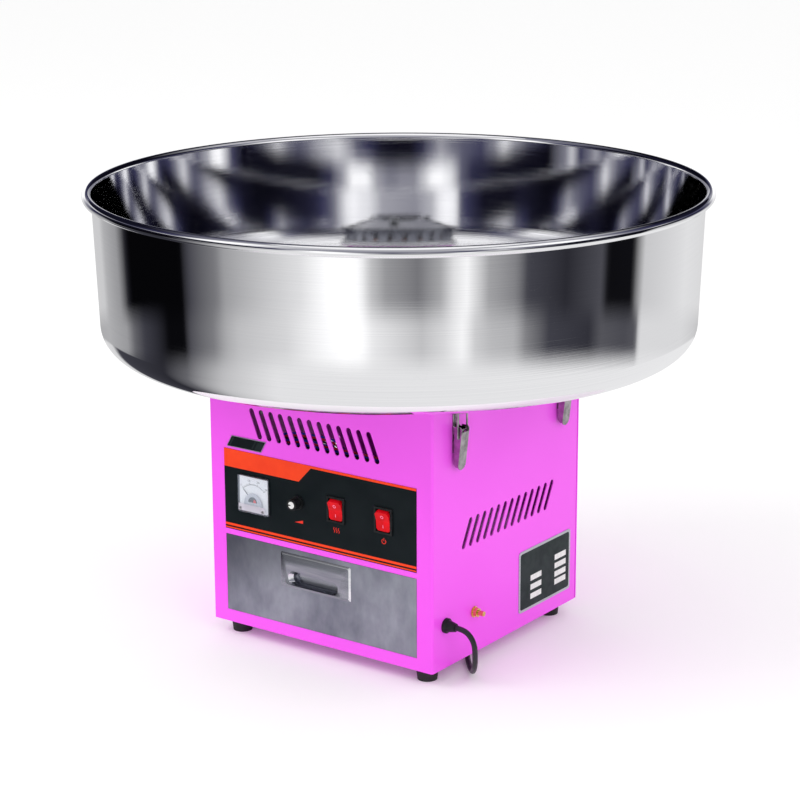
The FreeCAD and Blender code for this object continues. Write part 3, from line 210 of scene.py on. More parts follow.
groups = {"mottle": buildMottle(), "brushed": buildBrushed(), "spun": buildSpun(), "scuffs": buildScuffs()}
patternInputs = {"mottle": ("Scale", "Detail"), "brushed": ("Stretch",), "spun": ("Rings", "Around")}


def finishOf(clean, worn, rough, pattern, bump, depth=0.0001, **more):
    # clean and worn screen colours, smoothest and roughest, group and its inputs, strength of the bump
    return {"colour": (linear(*clean), linear(*worn)), "rough": rough, "pattern": pattern, "bump": bump,
            "depth": depth, **more}


# each roughness range stays on one side of 0.27: the denoiser draws a line where a surface crosses it
finishes = {
    "pinkEnamel": finishOf((250, 92, 246), (246, 86, 242), (0.28, 0.35), ("mottle", 9, 0), 0.02,
        depth=0.0002, specular=0.35, coat=(0.15, 0.15)),
    "spunStainless": finishOf((250, 250, 251), (242, 242, 244), (0.015, 0.035), ("spun", 2400, 1), 0.025,
        metal=1, scuffs=0.36),
    "drawerStainless": finishOf((170, 173, 184), (128, 131, 144), (0.28, 0.4), ("brushed", (22, 22, 13)),
        0.02, depth=0.0002, metal=1, fine=900),
    "pullStainless": finishOf((160, 162, 170), (136, 138, 148), (0.14, 0.22), ("brushed", (20, 40, 300)),
        0.015, metal=1),
    # a pale copy of pullStainless: a painted highlight for the pull's bevel and scooped end
    "pullPaintedHighlight": finishOf((246, 247, 250), (226, 227, 232), (0.1, 0.16), ("brushed", (20, 40, 300)), 0.015,
        metal=1),
    "platedSteel": finishOf((178, 172, 176), (132, 126, 130), (0.12, 0.26), ("mottle", 120, 3), 0.04,
        metal=1),
    "zincSteel": finishOf((186, 188, 192), (150, 152, 150), (0.3, 0.48), ("mottle", 260, 4), 0.06, metal=1),
    "turnedAluminium": finishOf((214, 214, 216), (186, 187, 190), (0.16, 0.26), ("spun", 2600, 2), 0.06,
        metal=1),
    "blackFilm": finishOf((19, 26, 29), (24, 31, 34), (0.34, 0.46), ("mottle", 30, 3), 0.08, specular=0.08,
        fine=2400),
    "orangeInk": finishOf((255, 70, 24), (248, 62, 20), (0.34, 0.46), ("mottle", 60, 3), 0.06, specular=0.2,
        fine=2400),
    "redInk": finishOf((244, 52, 34), (228, 42, 28), (0.4, 0.5), ("mottle", 90, 2), 0.04, specular=0.2),
    "blackPlastic": finishOf((22, 24, 26), (34, 36, 38), (0.3, 0.48), ("mottle", 180, 4), 0.1,
        specular=0.25, fine=3000),
    "redRocker": finishOf((236, 10, 28), (204, 4, 18), (0.3, 0.4), ("mottle", 90, 2), 0.03, specular=0.14),
    "rockerMarks": finishOf((255, 150, 190), (250, 130, 175), (0.4, 0.5), ("mottle", 240, 2), 0.02),
    "dialPaper": finishOf((246, 247, 248), (238, 240, 243), (0.5, 0.6), ("mottle", 90, 2), 0.04, fine=3000),
    "dialInk": finishOf((22, 22, 28), (34, 34, 40), (0.5, 0.62), ("mottle", 240, 2), 0.03),
    # white print; on the knob cap the white also paints in the glare on that silver cap
    "whitePaintAndGlare": finishOf((240, 240, 238), (226, 226, 224), (0.4, 0.52), ("mottle", 240, 2), 0.03),
    "clearCover": finishOf((226, 236, 250), (218, 230, 246), (0.03, 0.06), ("mottle", 60, 2), 0.01,
        alpha=0.15, ior=1.49),
    "frostedBand": finishOf((232, 226, 236), (222, 216, 228), (0.4, 0.5), ("mottle", 60, 2), 0.02,
        alpha=0.55),
    "greyPlastic": finishOf((206, 208, 216), (190, 193, 203), (0.4, 0.5), ("mottle", 110, 2), 0.03),
    "rubber": finishOf((26, 26, 27), (44, 44, 45), (0.55, 0.75), ("mottle", 160, 4), 0.16, depth=0.0002,
        fine=2600),
    "cordSheath": finishOf((30, 32, 38), (20, 22, 26), (0.28, 0.4), ("mottle", 120, 3), 0.06, fine=2600),
    "brass": finishOf((244, 214, 132), (220, 178, 98), (0.18, 0.26), ("mottle", 300, 3), 0.05, metal=1),
    "copper": finishOf((206, 128, 84), (160, 92, 60), (0.18, 0.26), ("spun", 3200, 2), 0.05, metal=1),
    "motorPaint": finishOf((40, 42, 46), (56, 58, 60), (0.38, 0.55), ("mottle", 120, 4), 0.12, depth=0.0002,
        fine=1800),
    "boardGreen": finishOf((20, 70, 52), (28, 92, 64), (0.3, 0.42), ("mottle", 220, 2), 0.04),
    "bluePlastic": finishOf((34, 52, 178), (24, 40, 150), (0.3, 0.42), ("mottle", 160, 3), 0.05),
    "redPlastic": finishOf((196, 28, 44), (168, 20, 36), (0.3, 0.42), ("mottle", 160, 3), 0.05),
    "capacitorShell": finishOf((40, 46, 84), (32, 38, 70), (0.34, 0.46), ("mottle", 90, 3), 0.04),
    "carbonBlock": finishOf((48, 48, 50), (30, 30, 32), (0.5, 0.7), ("mottle", 600, 4), 0.12),
    "plateSilver": finishOf((206, 208, 214), (184, 186, 194), (0.3, 0.42), ("brushed", (30, 30, 900)), 0.04,
        metal=0.85),
    "plateDark": finishOf((36, 47, 48), (28, 39, 41), (0.36, 0.5), ("mottle", 90, 3), 0.04, specular=0.2),
}


def makeFinish(name):
    spec = finishes[name]
    material, tree = newMaterial(name)
    shader = tree.nodes["Principled BSDF"]
    place = tree.nodes.new("ShaderNodeTexCoord").outputs["Object"]

    def patternOf(group, **inputs):
        return addNode(tree, "Group", {"node_tree": groups[group]}, Vector=place, **inputs).outputs[0]

    group, *values = spec["pattern"]
    pattern = patternOf(group, **dict(zip(patternInputs[group], values)))
    rough = ranged(tree, pattern, result=spec["rough"])
    if "scuffs" in spec:
        marks = patternOf("scuffs", Scale=scuffLook["scale"], Share=spec["scuffs"])
        rough = combined(tree, "MULTIPLY_ADD", marks, scuffLook["rough"], rough)
    # fine: the scale of orange peel, moulded texture or grit
    height = patternOf("mottle", Scale=spec["fine"], Detail=2) if "fine" in spec else pattern
    bump = addNode(tree, "Bump", Strength=spec["bump"], Distance=spec["depth"], Height=height)
    tree.links.new(mixed(tree, pattern, *spec["colour"]), shader.inputs["Base Color"])
    tree.links.new(rough, shader.inputs["Roughness"])
    tree.links.new(bump.outputs[0], shader.inputs["Normal"])

    coat, coatRough = spec.get("coat", (0, 0.03))
    for label, value in (("Metallic", spec.get("metal", 0)), ("IOR", spec.get("ior", 1.46)),
                         ("Specular IOR Level", spec.get("specular", 0.5)), ("Alpha", spec.get("alpha", 1)),
                         ("Coat Weight", coat), ("Coat Roughness", coatRough)):
        shader.inputs[label].default_value = value
    return material


materials = {name: makeFinish(name) for name in finishes}
print("finishes made", len(materials))

# which finish each kept CAD node wears
nodeFinish = {
    "pinkEnamel": ["base_pan", "left_side_panel", "right_side_panel", "rear_panel", "front_panel",
                   "top_panel", "drawer_housing"],
    "spunStainless": ["bowl"],
    "drawerStainless": ["drawer_front", "drawer_tray"],
    "pullStainless": ["drawer_pull", "slotted_band"],
    "platedSteel": ["bowl_keepers", "latch_bases", "latch_pins"] + [
        f"latch_{part}_{end}_{side}" for part in ("lever", "bail") for end in ("front", "rear")
        for side in ("left", "right")],
    "zincSteel": ["screws_and_nut", "drive_plate", "motor_shaft", "spindle_shaft", "spindle_bearings",
                  "spinner_posts", "control_shaft"],
    "turnedAluminium": ["spinner_base", "spinner_cap", "driven_pulley", "motor_pulley", "bearing_housing"],
    "blackFilm": ["control_overlay"],
    "blackPlastic": ["meter_body", "heat_knob", "switch_bodies", "potentiometer",
                     "brush_holder", "cord_bushing", "power_plug"],
    "dialInk": ["meter_needle"],
    "dialPaper": ["meter_dial"],
    "clearCover": ["meter_cover"],
    "greyPlastic": ["meter_movement_cover"],
    "redRocker": ["heat_rocker", "power_rocker"],
    "rubber": ["rubber_feet", "drive_belt"],
    "cordSheath": ["power_cord", "cord_coil"],
    "brass": ["earth_terminal"],
    "copper": ["slip_rings", "heater_ring"],
    "motorPaint": ["motor"],
    "boardGreen": ["heat_control_board"],
    "capacitorShell": ["run_capacitor"],
    "carbonBlock": ["carbon_brushes"],
}


def dressNodes():
    for finish, names in nodeFinish.items():
        for name in names:
            cadNodes[name].data.materials.clear()
            cadNodes[name].data.materials.append(materials[finish])
    missed = set(cadNodes) - {name for names in nodeFinish.values() for name in names}
    print("nodes dressed, left plain:", sorted(missed))


def bodyOf(nodeName):
    groupsOfNodes = frame["record"]["behaviour"]["bodies"]
    return next(body for body, members in groupsOfNodes.items() if nodeName in members)


def finishPiece(name, mesh, finish, carrier, smoothAngle=35):
    # carrier: the CAD node that the piece sits on
    if not mesh.materials:
        mesh.materials.append(materials[finish])
    if smoothAngle:
        for face in mesh.polygons:
            face.use_smooth = True
        mesh.set_sharp_from_angle(angle=math.radians(smoothAngle))
    piece = newObject(name, mesh)
    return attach(piece, bodyOf(carrier))


def meshFrom(name, shape):
    bmesh.ops.recalc_face_normals(shape, faces=shape.faces)
    mesh = bpy.data.meshes.new(name)
    shape.to_mesh(mesh)
    shape.free()
    return mesh


def joinRings(shape, rings):
    # faces between each ring of points and the next
    count = len(rings[0])
    for first, second in zip(rings, rings[1:]):
        for spot in range(count):
            following = (spot + 1) % count
            shape.faces.new((first[spot], first[following], second[following], second[spot]))


def spunMesh(name, profile, steps):
    # a closed profile of radius and height turned once round the Z axis
    shape = bmesh.new()
    rings = []
    for step in range(steps):
        turn = math.tau * step / steps
        rings.append([shape.verts.new((radius * math.cos(turn), radius * math.sin(turn), height))
                      for radius, height in profile])
    joinRings(shape, rings + rings[:1])
    return meshFrom(name, shape)


def lofted(name, rings, place):
    # rings of (u, v, depth) in mm with as many points each, joined in turn and closed at both ends
    shape = bmesh.new()
    loops = [[shape.verts.new(place(*[part * mm for part in point])) for point in ring] for ring in rings]
    joinRings(shape, loops)
    shape.faces.new(loops[0][::-1])
    shape.faces.new(loops[-1])
    return meshFrom(name, shape)


def slabs(name, outlines, low, high, place):
    # outlines in two directions, low and high in the third, all in mm; place puts a point on the object
    shape = bmesh.new()
    for outline in outlines:
        sides = [[shape.verts.new(place(u * mm, v * mm, level * mm)) for u, v in outline]
                 for level in (low, high)]
        shape.faces.new(sides[0][::-1])
        shape.faces.new(sides[1])
        joinRings(shape, sides)
    return meshFrom(name, shape)


def thinPiece(name, outlines, low, high, place, finish, carrier):
    # print, a plate or a mark on a face
    return finishPiece(name, slabs(name, outlines, low, high, place), finish, carrier, 0)


def buildRepeat():
    # one source on each place, turned a step further each time round one axis
    tree = bpy.data.node_groups.new("repeat", "GeometryNodeTree")
    for kind, label in (("Geometry", "Places"), ("Object", "Source"), ("Float", "Step"), ("Float", "Start"),
                        ("Vector", "Axis"), ("Material", "Finish")):
        tree.interface.new_socket(label, in_out="INPUT", socket_type="NodeSocket" + kind)
    tree.interface.new_socket("Geometry", in_out="OUTPUT", socket_type="NodeSocketGeometry")
    given, result = tree.nodes.new("NodeGroupInput").outputs, tree.nodes.new("NodeGroupOutput").inputs
    index = addNode(tree, "GeometryNodeInputIndex").outputs[0]
    angle = combined(tree, "MULTIPLY_ADD", index, given["Step"], given["Start"])
    turn = addNode(tree, "VectorMath", {"operation": "SCALE"}, i0=given["Axis"], Scale=angle)
    points = addNode(tree, "GeometryNodeMeshToPoints", Mesh=given["Places"])
    source = addNode(tree, "GeometryNodeObjectInfo", Object=given["Source"])
    spread = addNode(tree, "GeometryNodeInstanceOnPoints", Points=points.outputs[0],
                     Instance=source.outputs["Geometry"], Rotation=turn.outputs[0])
    real = addNode(tree, "GeometryNodeRealizeInstances", i0=spread.outputs[0])
    dressed = addNode(tree, "GeometryNodeSetMaterial", Geometry=real.outputs[0], Material=given["Finish"])
    tree.links.new(dressed.outputs[0], result["Geometry"])
    return tree


repeatTree = buildRepeat()


def repeated(name, source, places, finish, carrier, step=0, start=0, axis=(0, 0, 1)):
    # source is a mesh round its own origin, places are in metres, step and start in degrees
    sourceObject = newObject(name + "Source", source)
    holder = newObject(name + "Holder", plainMesh(name + "Places", places))
    modifier = holder.modifiers.new("repeat", "NODES")
    modifier.node_group = repeatTree
    values = {"Source": sourceObject, "Step": math.radians(step), "Start": math.radians(start), "Axis": axis,
              "Finish": materials[finish]}
    for item in repeatTree.interface.items_tree:
        if item.in_out == "INPUT" and item.name in values:
            modifier[item.identifier] = values[item.name]
    mesh = bakedMesh(holder)
    mesh.name = name
    bpy.data.objects.remove(sourceObject)
    return finishPiece(name, mesh, finish, carrier)


def ribbon(points, width):
    # a line of some width as one outline
    left, right = [], []
    for spot, (x, y) in enumerate(points):
        before, after = points[max(spot - 1, 0)], points[min(spot + 1, len(points) - 1)]
        along = Vector((after[0] - before[0], after[1] - before[1])).normalized()
        left.append((x - along.y * width / 2, y + along.x * width / 2))
        right.append((x + along.y * width / 2, y - along.x * width / 2))
    return left + right[::-1]


def arcPoints(x, y, radius, start, end, steps):
    turns = [math.radians(start + (end - start) * step / steps) for step in range(steps + 1)]
    return [(x + radius * math.cos(turn), y + radius * math.sin(turn)) for turn in turns]


def rectangle(x0, y0, x1, y1):
    return [(x0, y0), (x1, y0), (x1, y1), (x0, y1)]


def roundedBox(x0, y0, x1, y1, radius, steps=5):
    corners = [(x1 - radius, y1 - radius, 0), (x0 + radius, y1 - radius, 90),
               (x0 + radius, y0 + radius, 180), (x1 - radius, y0 + radius, 270)]
    return [point for x, y, start in corners for point in arcPoints(x, y, radius, start, start + 90, steps)]


def onFront(level):
    # u to the right, v up, depth out of the front from a plane at y = level
    return lambda u, v, depth: (u, level - depth, v)


def onRight(level):
    return lambda u, v, depth: (level + depth, u, v)


cordShape = {
    "diameter": 6.5, "length": 1.8, "coilCentre": (-110, 212), "coilRadii": (44.1, 37.5, 30.9),
    "layers": (3.3, 9.8), "pointsPerTurn": 16, "coilStart": -8, "coilTurns": 5 + 127 / 360, "stepOver": 0.22,
    "toCoil": [
        (174, -134, 69), (184.5, -134, 69), (193.8, -134, 63.5), (199, -133.5, 54), (199, -132, 41.5),
        (195.5, -127, 27), (187, -117.5, 14), (173.5, -101, 6), (155, -79.5, 3.3), (128, -46, 3.3),
        (88, -3, 3.3), (34, 38, 3.3), (-24, 84, 3.3), (-58, 134, 3.3), (-65.5, 171, 3.3)],
    "toPlug": [(-133, 252.5, 6.5), (-151, 249, 3.6), (-168, 240, 3.3), (-182, 226, 3.3)],
}
tieShape = {"turn": 75, "halfWidth": 2.5, "thick": 0.5, "gap": 0.9, "corner": 1.5, "under": 0.6}


def coilPoints():
    c = cordShape
    centreX, centreY = c["coilCentre"]
    outer, middle, inner = c["coilRadii"]
    low, high = c["layers"]
    turns = [(outer, low), (middle, low), (inner, low), (inner, high), (middle, high), (outer, high)]
    perTurn, total = c["pointsPerTurn"], c["coilTurns"]
    points = []
    for step in range(round(total * perTurn) + 1):
        turn = min(step / perTurn, total)
        whole = int(turn)
        part = min((turn - whole) / c["stepOver"], 1) if whole else 1
        before, now = turns[max(whole - 1, 0)], turns[whole]
        radius, level = (was + (will - was) * part for was, will in zip(before, now))
        angle = math.radians(c["coilStart"] + turn * 360)
        points.append((centreX + radius * math.cos(angle), centreY + radius * math.sin(angle), level))
    return points


def curveObject(name, points, radius, sides):
    curve = bpy.data.curves.new(name, "CURVE")
    curve.dimensions = "3D"
    curve.bevel_depth, curve.bevel_resolution = radius * mm, sides
    curve.use_fill_caps = True
    curve.resolution_u = 6
    spline = curve.splines.new("NURBS")
    spline.points.add(len(points) - 1)
    for point, place in zip(spline.points, points):
        point.co = (*[part * mm for part in place], 1)
    spline.order_u = 3
    spline.use_endpoint_u = True
    return newObject(name, curve)


def makeTie():
    # a strap round the coil, on the side away from the case
    t = tieShape
    centreX, centreY = cordShape["coilCentre"]
    outer, _, inner = cordShape["coilRadii"]
    low, high = cordShape["layers"]
    half = cordShape["diameter"] / 2 + t["gap"]
    inside, outside, top = inner - half, outer + half, high + half - t["gap"]
    loop = [(inside, low), (inside, high), (inside + t["corner"], top), (outside - t["corner"], top),
            (outside, high), (outside, low), (outside - t["corner"], t["under"]),
            (inside + t["corner"], t["under"])]
    turn = math.radians(t["turn"])
    along, across = Vector((math.cos(turn), math.sin(turn), 0)), Vector((-math.sin(turn), math.cos(turn), 0))
    shape = bmesh.new()
    rings = []
    for radius, level in loop:
        middle = Vector((centreX, centreY, level)) + along * radius
        inward = along * ((outer + inner) / 2 - radius) + Vector((0, 0, (low + high) / 2 - level))
        inward = inward.normalized() * t["thick"]
        rings.append([shape.verts.new((middle + across * side * t["halfWidth"] + inward * depth) * mm)
                      for side, depth in ((-1, 0), (1, 0), (1, 1), (-1, 1))])
    joinRings(shape, rings + rings[:1])
    return finishPiece("cordTie", meshFrom("cordTie", shape), "rubber", "power_cord")


def makeCord():
    cord = curveObject("mainsCord", cordShape["toCoil"] + coilPoints() + cordShape["toPlug"],
                       cordShape["diameter"] / 2, 3)
    cord.data.materials.append(materials["cordSheath"])
    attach(cord, bodyOf("power_cord"))
    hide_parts("power_cord", "cord_coil")
    tie = makeTie()
    print("cord laid")


# starts: x of the wires from a switch's middle; pitch: between wires on the way and at the board
wireLoom = {"radius": 1.3, "pitch": (2.7, 3), "level": 247, "starts": (-6, -2, 2, 6),
            "board": (-96, -60, 160), "fromSwitch": ((0, -1, 0), (0, 10, 0), (0, 15, 14), (-6, 3, 42)),
            "overSwitch": ((-16, -140, -4), (-32, -145, 0)),
            "pastVents": ((-20, -146, 0), (-45, -144, -2), (-78, -136, -12)),
            "toBoard": ((-8, -52, 56), (0, -16, 26), (0, 0, 10), (0, 0, 0)),
            "colours": ("bluePlastic", "blackPlastic", "bluePlastic", "redPlastic", "bluePlastic",
                        "blackPlastic", "redPlastic", "bluePlastic")}


def shifted(points, x, y, z):
    return [(x + right, y + back, z + up) for right, back, up in points]


def makeWires():
    # from the two switches, past the front vents and down to the heat board
    w = wireLoom
    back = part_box("switch_bodies")[1].y / mm
    boardX, boardY, boardZ = w["board"]
    switches = [sum(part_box(name), Vector()) / 2 / mm for name in ("power_rocker", "heat_rocker")]
    parts = {}
    for spot, colour in enumerate(w["colours"]):
        switch = switches[spot // len(w["starts"])]
        x = switch.x + w["starts"][spot % len(w["starts"])]
        level, end = w["level"] + w["pitch"][0] * spot, boardX + w["pitch"][1] * spot
        points = (shifted(w["fromSwitch"], x, back, switch.z) + shifted(w["overSwitch"], x, 0, level)
                  + shifted(w["pastVents"], 0, 0, level) + shifted(w["toBoard"], end, boardY, boardZ))
        wire = bakedMesh(curveObject("wire", points, w["radius"], 2))
        parts.setdefault(colour, bmesh.new()).from_mesh(wire)
    for finish, shape in parts.items():
        name = "wires" + finish[0].upper() + finish[1:]
        finishPiece(name, meshFrom(name, shape), finish, "switch_bodies", 60)
    print("wires laid", len(w["colours"]))


bowlShape = {"rim": 365, "depth": 188.5, "base": 348, "corner": 33, "sheet": 1, "bead": 5.75, "hole": 85,
             "collar": 8, "steps": 256, "cornerSteps": 10, "beadSteps": 18}


def makeBowl():
    b = bowlShape
    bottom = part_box("bowl")[0].z / mm
    sheet, bead = b["sheet"], b["bead"]
    beadX, beadZ = b["rim"] - bead, b["depth"] - bead
    lean = math.atan2(beadX - bead + sheet - b["base"], beadZ)

    def corner(radius, base, floor):
        # the round between the flat floor and the leaning wall
        reach = radius * math.tan((math.pi / 2 - lean) / 2)
        return arcPoints(base - reach, floor + radius, radius, -90, -math.degrees(lean), b["cornerSteps"])

    outer = [(b["hole"], b["collar"]), (b["hole"], 0)] + corner(b["corner"], b["base"], 0)
    outer += arcPoints(beadX, beadZ, bead - sheet, 180, -90, b["beadSteps"])
    inner = arcPoints(beadX, beadZ, bead, -90, 180, b["beadSteps"])
    inner += corner(b["corner"] - sheet, b["base"] - sheet, sheet)[::-1]
    inner += [(b["hole"] + sheet, sheet), (b["hole"] + sheet, b["collar"])]
    profile = [(radius * mm, (height + bottom) * mm) for radius, height in outer + inner]
    bowl = finishPiece("spunBowl", spunMesh("spunBowl", profile, b["steps"]), "spunStainless", "bowl", 40)
    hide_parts("bowl")
    print("bowl spun")


panelPrint = {"face": -160.5, "ink": 0.12, "left": -138.5, "right": 138.5,
              "bandLow": 231, "bandHigh": 234, "tabLow": 212, "tabEnd": -27.5, "tabSlope": 0.94,
              "stripes": ((139.5, 142.4), (136, 137.5)), "signHeight": 163.5, "line": 0.8,
              "wedge": ((-6, -1.6), (6, -1.6), (6, 2.2)), "waves": (-3.2, 0, 3.2), "waveSize": (0.8, 3),
              "waveSteps": 12, "powerRing": (2.8, 130, 410, 20), "powerLine": (0.4, 4)}


def makePanelPrint():
    p = panelPrint
    face, left, right, low, end = p["face"] * mm, p["left"], p["right"], p["bandLow"], p["tabEnd"]
    band = [(left, p["tabLow"]), (end, p["tabLow"]), (end + (low - p["tabLow"]) * p["tabSlope"], low),
            (right, low), (right, p["bandHigh"]), (left, p["bandHigh"])]
    bands = [band] + [rectangle(left, bottom, right, top) for bottom, top in p["stripes"]]
    thinPiece("orangeBands", bands, 0, p["ink"], onFront(face), "orangeInk", "control_overlay")

    # plain signs: less to more heat, waves for the heater, a broken ring for power
    z = p["signHeight"]
    knob, heat, power = (sum(corner.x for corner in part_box(name)) / 2 / mm
                         for name in ("heat_knob", "heat_rocker", "power_rocker"))
    signs = [[(knob + x, z + up) for x, up in p["wedge"]]]
    reach, rise = p["waveSize"]
    for column in p["waves"]:
        wave = [(heat + column + reach * math.sin(step / p["waveSteps"] * math.tau),
                 z + rise * (2 * step / p["waveSteps"] - 1)) for step in range(p["waveSteps"] + 1)]
        signs.append(ribbon(wave, p["line"]))
    signs.append(ribbon(arcPoints(power, z, *p["powerRing"]), p["line"]))
    signs.append(ribbon([(power, z + up) for up in p["powerLine"]], p["line"]))
    thinPiece("panelSigns", signs, 0, p["ink"], onFront(face), "redInk", "control_overlay")
    print("panel printed")


# bars and columns are shares of the plate's width, drops are shares of its height from the top
badgeShape = {"left": -134, "right": -82.5, "low": 237, "high": 251, "slope": 8, "thick": 0.8, "border": 0.9,
              "field": 0.92, "barHeight": 1, "barInset": 0.16,
              "bars": ((0.79, 0.97), (0.7, 0.74), (0.05, 0.1))}
ratingShape = {"yLow": 16.75, "yHigh": 130.25, "zLow": 35.25, "zHigh": 111.75, "thick": 0.7, "border": 3.2,
               "corner": 4, "field": 0.8, "boxHeight": 0.9, "halfBox": 0.045,
               "columns": ((0.22, 0.43, (0.5, 0.65, 0.8)), (0.69, 0.91, (0.36, 0.5, 0.64, 0.77)))}


def makeBadge():
    b = badgeShape
    wide, tall = b["right"] - b["left"], b["high"] - b["low"]
    place = onFront(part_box("front_panel")[0].y)

    def slanted(inset, first=0, last=1, low=0.0, high=1.0):
        # corners at shares of the width and height, leaning with the badge's ends
        shift = b["slope"] * inset / tall
        return [(b["left"] + wide * share + side * inset + b["slope"] * rise + turn * shift,
                 b["low"] + tall * rise + turn * inset)
                for share, side, rise, turn in ((first, 1, low, 1), (last, -1, low, 1), (last, -1, high, -1),
                                                (first, 1, high, -1))]

    thinPiece("badgePlate", [slanted(0)], 0, b["thick"], place, "plateSilver", "front_panel")
    thinPiece("badgeField", [slanted(b["border"])], b["thick"], b["field"], place, "blackFilm",
              "front_panel")
    bars = [slanted(0, first, last, b["barInset"], 1 - b["barInset"]) for first, last in b["bars"]]
    thinPiece("badgeBars", bars, b["field"], b["barHeight"], place, "plateDark", "front_panel")


def makeRatingPlate():
    r = ratingShape
    place = onRight(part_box("right_side_panel")[1].x)

    def plate(edge, radius):
        return [roundedBox(r["yLow"] + edge, r["zLow"] + edge, r["yHigh"] - edge, r["zHigh"] - edge, radius)]

    thinPiece("ratingPlate", plate(0, r["corner"]), 0, r["thick"], place, "plateSilver", "right_side_panel")
    thinPiece("ratingField", plate(r["border"], r["corner"] - 1), r["thick"], r["field"], place, "plateDark",
              "right_side_panel")
    wide, tall = r["yHigh"] - r["yLow"], r["zHigh"] - r["zLow"]
    boxes = [rectangle(r["yLow"] + wide * start, r["zHigh"] - tall * (drop + r["halfBox"]),
                       r["yLow"] + wide * stop, r["zHigh"] - tall * (drop - r["halfBox"]))
             for start, stop, drops in r["columns"] for drop in drops]
    thinPiece("ratingBoxes", boxes, r["field"], r["boxHeight"], place, "whitePaintAndGlare", "right_side_panel")
    print("plates fixed")


def ringPoints(radius, depth, steps=24):
    return [(radius * math.cos(math.tau * step / steps), radius * math.sin(math.tau * step / steps), depth)
            for step in range(steps)]


def boxRing(half, radius, depth, steps=4):
    return [(x, y, depth) for x, y in roundedBox(-half, -half, half, half, radius, steps)]


# ticks: width, length and count
meterLook = {"half": 22.5, "round": 2, "innerRound": 1, "depth": 4.8, "bevel": 2.4, "wall": 1.2,
             "innerBevel": 1.68, "edge": (0.3, 0.4), "bandTop": -11.5, "bandEdge": 0.6, "bandThick": 0.15,
             "screwAt": (16.5, -17.2), "screwRings": ((1.6, 0), (1.6, 0.4), (1.1, 0.65)), "pivotDrop": 9.5,
             "arc": 21.6, "arcWidth": 0.35, "arcThick": 0.04, "sweep": 90,
             "ticks": {"minorTicks": (0.25, 1.5, 31), "majorTicks": (0.5, 2.6, 4)}, "tickThick": 0.06,
             "numbers": ("0", "100", "200", "300"), "numberRing": 26.6, "numberSize": 3.3,
             "numberThick": 0.02, "hub": 6.4, "hubDrop": 8.6, "hubThick": 0.5, "markThick": 0.7,
             "zeroMark": ((1.2, -8.4), (5.4, -8.4), (4.4, -5.4), (2.2, -4.6))}


def aroundMeter(level):
    # u and v from the middle of the meter, depth out of the front
    low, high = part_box("meter_cover")
    middle = (low + high) / 2
    return lambda u, v, depth: (middle.x + u, level - depth, middle.z + v)


def makeMeterCover():
    m = meterLook
    half, depth, wall, bevel = m["half"], m["depth"], m["wall"], m["bevel"]
    coverFront, coverBack = (corner.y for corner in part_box("meter_cover"))
    inner, edgeDepth, edgeWidth = half - wall, *m["edge"]
    rings = [boxRing(inner - bevel, m["innerRound"], depth - wall),
             boxRing(inner, m["innerRound"], depth - wall - m["innerBevel"]),
             boxRing(inner, m["innerRound"], 0), boxRing(half, m["round"], 0),
             boxRing(half, m["round"], depth - bevel),
             boxRing(half - bevel, m["round"], depth - edgeDepth),
             boxRing(half - bevel - edgeWidth, m["round"], depth)]
    cover = finishPiece("meterCover", lofted("meterCover", rings, aroundMeter(coverBack)), "clearCover",
                        "meter_cover", 30)
    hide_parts("meter_cover")

    place, thick, edge = aroundMeter(coverFront), m["bandThick"], m["bandEdge"]
    inner = half - bevel - edge
    band = roundedBox(-inner, -inner, inner, m["bandTop"], edge)
    thinPiece("coverBand", [band], 0, thick, place, "frostedBand", "meter_cover")
    head = lofted("coverScrew", [ringPoints(*ring) for ring in m["screwRings"]], onFront(0))
    across, up = m["screwAt"]
    places = [place(side * across * mm, up * mm, thick * mm) for side in (-1, 1)]
    repeated("coverScrews", head, places, "zincSteel", "meter_cover")


def makeDial():
    # the scale, its ticks and numbers stand round the needle's pivot
    m = meterLook
    place, sweep, arc = aroundMeter(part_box("meter_dial")[0].y), m["sweep"], m["arc"]
    pivot = place(0, -m["pivotDrop"] * mm, 0)
    scale = ribbon(arcPoints(0, -m["pivotDrop"], arc, 90 - sweep / 2, 90 + sweep / 2, 30), m["arcWidth"])
    thinPiece("dialArc", [scale], 0, m["arcThick"], place, "dialInk", "meter_dial")
    for name, (wide, reach, count) in m["ticks"].items():
        tick = slabs(name, [rectangle(-wide / 2, arc, wide / 2, arc + reach)], 0, m["tickThick"], onFront(0))
        repeated(name, tick, [pivot] * count, "dialInk", "meter_dial", sweep / (count - 1), -sweep / 2,
                 (0, 1, 0))
    numbers = bmesh.new()
    for spot, text in enumerate(m["numbers"]):
        curve = bpy.data.curves.new("number" + text, "FONT")
        curve.body, curve.size, curve.extrude = text, m["numberSize"] * mm, m["numberThick"] * mm
        curve.align_x, curve.align_y = "CENTER", "CENTER"
        flat = bakedMesh(newObject("number" + text, curve))
        turn = math.radians(sweep * (spot / (len(m["numbers"]) - 1) - 0.5))
        centre = Vector(pivot) + Vector((math.sin(turn), 0, math.cos(turn))) * m["numberRing"] * mm
        flat.transform(Matrix.Translation(centre) @ Matrix.Rotation(math.pi / 2, 4, "X"))
        numbers.from_mesh(flat)
    finishPiece("dialNumbers", meshFrom("dialNumbers", numbers), "dialInk", "meter_dial", 0)

    place = aroundMeter(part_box("meter_movement_cover")[0].y)
    hub = arcPoints(0, -m["hubDrop"], m["hub"], 0, 180, 20)
    thinPiece("needleHub", [hub], 0, m["hubThick"], place, "blackPlastic", "meter_movement_cover")
    thinPiece("zeroMark", [m["zeroMark"]], m["hubThick"], m["markThick"], place, "redInk",
              "meter_movement_cover")
    print("meter dressed")


# mark: along and across the pointer; rib: half width and height at foot and head
knobLook = {"cap": 4.2, "capHeight": 0.4, "capShoulder": 0.24, "capBevel": 0.4, "sides": 40,
            "mark": ((0.6, 0.5), (4.2, 0.9)), "markHeight": 0.5, "rest": -95, "ribs": 20,
            "ribEnds": ((6.4, 4.2), (5.9, 13)), "ribFoot": (0.35, -0.1), "ribTop": (0.22, 0.35)}


